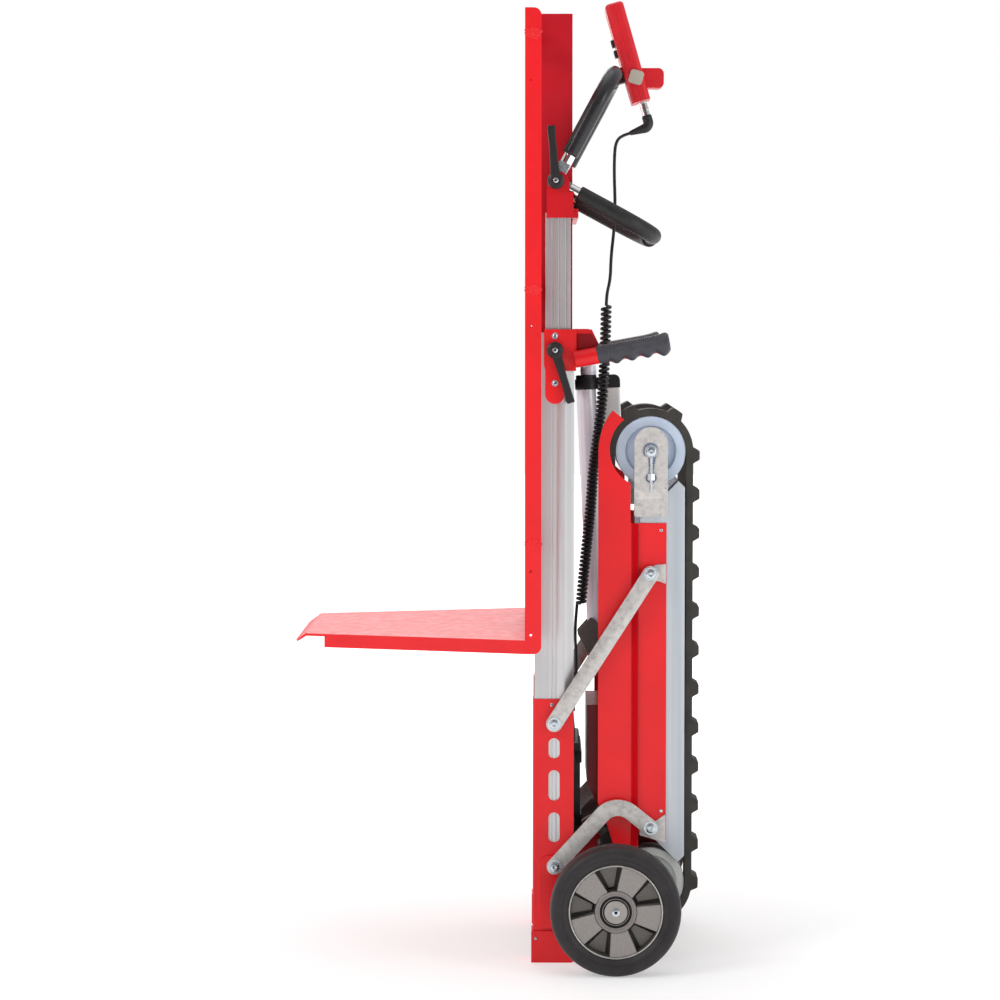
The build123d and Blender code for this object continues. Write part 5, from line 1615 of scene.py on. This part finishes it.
# ------------------------------------------------------------------ mast extension and hand loops
@dataclass(frozen=True)
class HandLoop:
    """One bent chrome tube with sleeves on its legs."""

    body: str
    lean: float
    length: float
    eye: Point2
    sleeve_from: float
    sleeve: Finish
    ridges: int
    pivot: Point2 = LOOP_PIVOT
    middle: float = 142.4
    tube: float = 9.5
    sleeve_radius: float = 13.0
    bend: float = 62.0
    root: float = 24.0

    def spot(self, along: float, across: float) -> Vector:
        """A place in the loop's plane, along it from the pivot and across the machine."""
        turn = math.radians(self.lean)
        x, z = self.pivot
        return Vector((x + along * math.cos(turn), across, z + along * math.sin(turn)))

    def build(self) -> None:
        """Make the tube, its flattened eyes and the sleeves."""
        ends = ((self.root, -1), (self.length, -1), (self.length, 1), (self.root, 1))
        corners = [self.spot(along, out * self.middle) for along, out in ends]
        path = filleted(corners, self.bend, 24)
        work = Work().hose(path, lambda share, angle: self.tube, 40)
        work.publish(
            f"{self.body}_tube", Paintbox.CHROME, self.body, (self.body,), bevel=0.5, smooth=40
        )
        eyes = Work()
        for side in Side:
            near, far = sorted((side * self.eye[0], side * self.eye[1]))
            section = [(near, 6.05), (near, 12.0), (far, 12.0), (far, 6.05)]
            eyes.turned(section, self.pivot, closed=True)
            flat = Work().box((5.0, self.root + 8), (near, far), (-9.0, 9.0))
            turn = Matrix.Rotation(-math.radians(self.lean), 4, "Y")
            flat.shift(Matrix.Translation((self.pivot[0], 0, self.pivot[1])) @ turn)
            eyes.join(flat)
        eyes.publish(
            f"{self.body}_eyes", Paintbox.FASTENER, self.body, bevel=0.8, steps=3, smooth=40
        )
        sleeves = Work()
        for side in Side:
            corners = [
                self.spot(self.sleeve_from, side * self.middle),
                self.spot(self.length, side * self.middle),
                self.spot(self.length, side * (self.middle - self.bend - 8)),
            ]
            leg = even(filleted(corners, self.bend, 24), 2.0)
            total = measured(leg)

            def radius(share: float, angle: float) -> float:
                """Radius with rounded ends and fine ridges along the sleeve."""
                near_end = min(share, 1 - share) * total
                close = 1.6 * max(0.0, 1 - near_end / 2.2) ** 2
                ridge = 0.42 * (0.5 + 0.5 * math.cos(self.ridges * angle)) if self.ridges else 0.0
                return self.sleeve_radius - close - ridge

            sleeves.hose(leg, radius, 96 if self.ridges else 48, bore=self.tube)
        sleeves.publish(
            f"{self.body}_sleeves", self.sleeve, self.body, (f"{self.body}_grips",), smooth=60
        )


@dataclass(frozen=True)
class Extension:
    """The sliding inner mast with its head brackets, levers and hand loops."""

    pivot: Point2 = LOOP_PIVOT
    lever_seat: float = 157.8

    def build(self) -> None:
        """Make every piece that slides up with the inner mast."""
        soften("inner_profiles", Paintbox.MAST, "mast_extension", 0.35)
        # The head brackets take the darker red: painted shade.
        soften("head_brackets", Paintbox.SHADED_BRACKET_COAT, "mast_extension", 0.6)
        for side in Side:
            name = f"upper_lever_{side.name.lower()}"
            ClampLever(name, self.pivot, 95.0, self.lever_seat, side).build()
        HandLoop("upper_loop", 61.8, 193.0, (142.6, 153.0), 46.0, Paintbox.FOAM, 0).build()
        HandLoop("lower_loop", -28.5, 174.0, (131.8, 142.2), 40.0, Paintbox.RIBBED, 30).build()


# ------------------------------------------------------------------ handset and cord
@dataclass(frozen=True)
class Handset:
    """The remote control clipped to the upper loop."""

    top: Point2 = (182.5, 1501.0)
    bottom: Point2 = (227.0, 1346.0)

    def placed(self) -> Matrix:
        """Matrix from the handset's own upright frame, with its lower end at the origin."""
        lean = math.atan2(self.bottom[0] - self.top[0], self.top[1] - self.bottom[1])
        foot = Matrix.Translation((self.bottom[0], 0, self.bottom[1]))
        return foot @ Matrix.Rotation(-lean, 4, "Y")

    def build(self) -> None:
        """Make the shells, the clip, the buttons and the pad."""
        soften("handset_front_shell", Paintbox.HANDSET, "upper_loop", 0.7, 3)
        soften("handset_rear_shell", Paintbox.HANDSET, "upper_loop", 0.7, 3)
        soften("handset_clip", Paintbox.BLACK_PLASTIC, "upper_loop", 0.8)
        soften("handset_up_button", Paintbox.BLACK_PLASTIC, "up_button", 0.6)
        soften("handset_down_button", Paintbox.BLACK_PLASTIC, "down_button", 0.6)
        soften("handset_side_button", Paintbox.BEIGE, "side_button", 0.8, 3)


@dataclass(frozen=True)
class Cord:
    """The handset's cord: plug, straight lead, curly run and straight tail."""

    lead_route: tuple[Point3, ...] = (
        (210, 0, 1297), (195, 0, 1293), (187, -3, 1281), (185, -8, 1260), (184.6, -16, 1226),
        (186, -26, 1184), (184, -36, 1142), (179, -43, 1100), (178, -47.5, 1064),
        (171.9, -50, 1040), (171.5, -50, 1022)
    )
    coil_route: tuple[Point3, ...] = (
        (171.5, -50, 1022), (170.5, -50, 978), (169, -50, 934), (166.5, -50, 890), (162, -50, 843),
        (156, -50, 800), (150.5, -50, 755), (147.5, -50, 705), (142, -50, 652), (136.5, -50, 600),
        (132, -50, 549)
    )
    tail_route: tuple[Point3, ...] = (
        (126, -50, 549.5), (123.6, -50, 525), (122.8, -49, 497), (124.5, -45, 466),
        (124.5, -45, 440)
    )
    diameter: float = 5.0
    sides: int = 14
    helix_radius: float = 6.4
    turns: int = 70
    turn_steps: int = 22
    crowding: float = 0.045

    def smooth_line(self, route: Sequence[Point3], name: str) -> list[Vector]:
        """Points of the NURBS line whose control points are the route.

        Args:
            route: the control points in millimetres.
            name: a name for the passing curve.

        Returns:
            The line's points in millimetres.
        """
        data = bpy.data.curves.new(name, "CURVE")
        data.dimensions = "3D"
        spline = data.splines.new("NURBS")
        spline.points.add(len(route) - 1)
        for point, place in zip(spline.points, route):
            point.co = (*(value * MM for value in place), 1.0)
        spline.order_u = 3
        spline.use_endpoint_u = True
        data.resolution_u = 24
        holder = bpy.data.objects.new(name, data)
        bpy.context.scene.collection.objects.link(holder)
        bpy.context.view_layer.update()
        mesh = bpy.data.meshes.new_from_object(holder)
        line = [vertex.co / MM for vertex in mesh.vertices]
        bpy.data.objects.remove(holder)
        bpy.data.curves.remove(data)
        bpy.data.meshes.remove(mesh)
        return line

    def helix(self) -> list[Vector]:
        """The curly run's centre line, wound round its smooth line."""
        line = even(self.smooth_line(self.coil_route, "coil_line"), 2.0)
        frames = carry_frames(line)
        total = measured(line)
        count = self.turns * self.turn_steps
        points, index, run = [], 0, 0.0
        for step in range(count + 1):
            share = step / count
            eased = share + self.crowding * math.sin(math.pi * share) * (1 - share)
            mark = eased * total
            while index < len(line) - 2 and run + (line[index + 1] - line[index]).length < mark:
                run += (line[index + 1] - line[index]).length
                index += 1
            step_length = (line[index + 1] - line[index]).length
            inside = min(1.0, (mark - run) / step_length)
            spot = line[index].lerp(line[index + 1], inside)
            across = frames[index][1].lerp(frames[index + 1][1], inside).normalized()
            over = frames[index][2].lerp(frames[index + 1][2], inside).normalized()
            turn = 2 * math.pi * self.turns * share
            ray = across * math.cos(turn) + over * math.sin(turn)
            points.append(spot + ray * self.helix_radius)
        return points

    def run(
        self,
        name: str,
        line: Sequence[Vector],
        bodies: Sequence[str],
        node: str,
        span: Optional[tuple[Vector, Vector]] = None,
        lay: str = "hanging",
    ) -> None:
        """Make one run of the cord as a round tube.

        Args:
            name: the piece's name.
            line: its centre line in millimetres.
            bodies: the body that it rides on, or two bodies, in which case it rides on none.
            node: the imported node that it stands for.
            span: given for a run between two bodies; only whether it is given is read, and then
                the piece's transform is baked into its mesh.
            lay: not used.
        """
        work = Work().hose(line, lambda share, angle: self.diameter / 2, self.sides)
        piece = work.publish(
            name, Paintbox.CORD, bodies[0] if len(bodies) == 1 else None, (node,), smooth=80
        )
        if span is not None:
            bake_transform(piece)

    def build(self) -> None:
        """Make the plug and the three runs."""
        lead = even(self.smooth_line(self.lead_route, "lead_line"), 2.0)
        coil = self.helix()
        tail = even(self.smooth_line(self.tail_route, "tail_line"), 2.0)
        lead_span = (Vector(self.lead_route[-2]), Vector(self.lead_route[1]))
        coil_span = (Vector(self.coil_route[-1]), Vector(self.coil_route[0]))
        self.run("cord_lead_run", lead, ("mast_extension", "upper_loop"), "cord_lead", lead_span)
        self.run("cord_curly_run", coil, ("base", "mast_extension"), "cord_coil", coil_span)
        self.run("cord_tail_run", tail, ("base",), "cord_tail")
        self.plug()

    def plug(self) -> None:
        """Make the socket and the right-angle boot."""
        handset = Handset().placed()
        barrel = (
            (0.0, 2.5), (7.6, 2.5), (7.6, -2.0), (6.2, -2.6), (6.2, -9.0), (6.6, -9.6),
            (6.6, -14.0), (6.0, -14.6), (6.0, -24.0), (0.0, -24.0),
        )
        Work().upright(barrel).shift(handset @ Matrix.Translation((3.0, 0, 0))).publish(
            "cord_socket", Paintbox.CHROME, "upper_loop", smooth=30)
        start = handset @ Vector((3.0, 0, -22.0))
        corner = handset @ Vector((3.0, 0, -41.0))
        end = Vector(self.lead_route[0])
        line = even(filleted([start, corner, end], 9.0, 12), 1.5)

        def radius(share: float, angle: float) -> float:
            """Boot radius: full at the elbow and tapered towards the cord."""
            taper = 8.0 - 4.4 * max(0.0, (share - 0.45) / 0.55)
            return taper - 1.2 * max(0.0, (0.05 - share) / 0.05)

        Work().hose(line, radius, 32).publish(
            "cord_boot", Paintbox.BLACK_PLASTIC, "upper_loop", ("cord_plug",), smooth=50
        )


# ------------------------------------------------------------------ carriage
@dataclass(frozen=True)
class Carriage:
    """The lifting frame with its guides, slides, welds and toe plate."""

    rail_out: float = 250.0
    rail_x: Point2 = (44.0, 69.0)
    bars: tuple[float, ...] = (659.0, 1045.0, 1432.0)
    beads: int = 46
    bead_radius: float = 2.5
    patch: Point2 = (12.0, 7.6)

    def build(self) -> None:
        """Make every piece of the carriage."""
        soften("carriage_frame", Paintbox.RED_COAT, "carriage", 0.8, 3)
        # The guides take the darker red: painted shade.
        soften("carriage_guides", Paintbox.SHADED_GUIDE_COAT, "carriage", 0.8, 3)
        soften("carriage_slides", Paintbox.SLIDE, "carriage", 0.5)
        soften("toe_plate", Paintbox.RED_COAT, "carriage", 0.6, 3)
        self.welds()

    def welds(self) -> None:
        """Make the weld beads where the bars meet the rails."""
        work = Work()
        rail_middle = (self.rail_x[0] + self.rail_x[1]) / 2
        for side in Side:
            for level in self.bars:
                middle = Vector((rail_middle, side * (self.rail_out - 0.6), level))
                for bead in range(self.beads):
                    turn = bead * GOLDEN_ANGLE
                    reach = math.sqrt((bead + 0.5) / self.beads)
                    jitter = noise.noise(Vector((bead * 0.7, level * 0.01, side * 3.0)))
                    along = math.cos(turn) * reach * self.patch[0]
                    rise = math.sin(turn) * reach * (self.patch[1] + 1.5 * jitter)
                    spot = middle + Vector((along, side * 0.3, rise))
                    size = self.bead_radius + 0.8 * jitter
                    lump = bmesh.ops.create_icosphere(work.bm, subdivisions=2, radius=size)
                    bmesh.ops.scale(work.bm, vec=(1.2, 0.7, 0.8), verts=lump["verts"])
                    bmesh.ops.translate(work.bm, vec=spot, verts=lump["verts"])
        work.publish("carriage_welds", Paintbox.RED_COAT, "carriage", smooth=60)


# ------------------------------------------------------------------ studio
@dataclass(frozen=True)
class Studio:
    """Camera, floor, world and soft lights."""

    eye: Point3 = (68.5, -4570.0, 998.0)
    aim: Point3 = (-0.0144, 1.0, -0.0417)
    lens: float = 102.75
    drop: float = -0.06
    lamps: tuple[tuple[str, Point3, float, float], ...] = (
        ("key", (-3000, -2600, 3000), 1700, 62),
        ("fill", (3300, -2300, 1500), 1500, 30),
        ("overhead", (100, 300, 4200), 2400, 20),
        ("rear", (-900, 3800, 2400), 2600, 45),
    )
    lit_point: Point3 = (100, 0, 700)

    def build(self) -> None:
        """Set up everything that isn't the machine."""
        self.camera()
        self.floor()
        self.world()
        for lamp in self.lamps:
            self.light(*lamp)

    def camera(self) -> None:
        """Place the camera."""
        data = bpy.data.cameras.new("camera")
        data.lens = self.lens
        data.sensor_width = 36.0
        data.shift_y = self.drop
        data.clip_end = 60.0
        holder = bpy.data.objects.new("camera", data)
        holder.location = Vector(self.eye) * MM
        holder.rotation_euler = Vector(self.aim).to_track_quat("-Z", "Y").to_euler()
        bpy.context.scene.collection.objects.link(holder)
        bpy.context.scene.camera = holder

    def light(self, name: str, place: Point3, size: float, power: float) -> None:
        """Hang one soft box that faces the machine.

        Args:
            name: the light's name.
            place: where it hangs.
            size: its edge.
            power: its power in watts.
        """
        data = bpy.data.lights.new(name, "AREA")
        data.shape = "SQUARE"
        data.size = size * MM
        data.energy = power
        holder = bpy.data.objects.new(name, data)
        holder.location = Vector(place) * MM
        aim = Vector(self.lit_point) - Vector(place)
        holder.rotation_euler = aim.to_track_quat("-Z", "Y").to_euler()
        bpy.context.scene.collection.objects.link(holder)

    def floor(self) -> None:
        """Lay the pale floor."""
        mesh = bpy.data.meshes.new("studio_floor")
        reach = 14.0
        corners = [(-reach, -reach, 0), (reach, -reach, 0), (reach, reach, 0), (-reach, reach, 0)]
        mesh.from_pydata(corners, [], [(0, 1, 2, 3)])
        floor = bpy.data.objects.new("studio_floor", mesh)
        bpy.context.scene.collection.objects.link(floor)
        paint = bpy.data.materials.new("studio_floor")
        paint.use_nodes = True
        tree = paint.node_tree
        shader = tree.nodes["Principled BSDF"]
        shader.inputs["Base Color"].default_value = (0.62, 0.62, 0.62, 1)
        shader.inputs["Roughness"].default_value = 0.9
        shader.inputs["Specular IOR Level"].default_value = 0.1
        shader.inputs["Emission Color"].default_value = (1.0, 1.0, 1.0, 1)
        place = tree.nodes.new("ShaderNodeTexCoord")
        away = tree.nodes.new("ShaderNodeVectorMath")
        away.operation = "LENGTH"
        tree.links.new(place.outputs["Object"], away.inputs[0])
        lift = ranged(tree, away.outputs["Value"], (0.5, 3.5), (0.42, 1.0))
        tree.links.new(lift, shader.inputs["Emission Strength"])
        mesh.materials.append(paint)

    def world(self) -> None:
        """Light the room evenly, darker towards the floor and on the camera's side."""
        world = bpy.data.worlds.new("studio")
        bpy.context.scene.world = world
        world.use_nodes = True
        tree = world.node_tree
        background = tree.nodes["Background"]
        seen = tree.nodes.new("ShaderNodeLightPath")
        place = tree.nodes.new("ShaderNodeTexCoord")
        split = tree.nodes.new("ShaderNodeSeparateXYZ")
        tree.links.new(place.outputs["Generated"], split.inputs["Vector"])
        height = ranged(tree, split.outputs["Z"], (-0.3, 0.9), (0.35, 0.84))
        front = ranged(tree, split.outputs["Y"], (-0.95, -0.45), (0.22, 1.0), "SMOOTHSTEP")
        glow = tree.nodes.new("ShaderNodeMath")
        glow.operation = "MULTIPLY"
        tree.links.new(height, glow.inputs[0])
        tree.links.new(front, glow.inputs[1])
        mix = tree.nodes.new("ShaderNodeMix")
        mix.data_type = "RGBA"
        tree.links.new(seen.outputs["Is Camera Ray"], mix.inputs["Factor"])
        tree.links.new(glow.outputs["Value"], mix.inputs["A"])
        mix.inputs["B"].default_value = (1.0, 1.0, 1.0, 1)
        tree.links.new(mix.outputs["Result"], background.inputs["Color"])
        background.inputs["Strength"].default_value = 1.0
        bpy.context.scene.view_settings.view_transform = "Standard"
        bpy.context.scene.view_settings.look = "None"


def main() -> None:
    """Build the studio and the machine."""
    Studio().build()
    Cord().build()
    mirrored(lambda side: Wheel(side).build())
    for maker in (Base, Links, Crawler, Actuator, Handle, Extension, Handset, Carriage):
        log.info("assembly %s", maker.__name__)
        maker().build()
    bpy.context.view_layer.update()


if __name__ == "__main__":
    main()
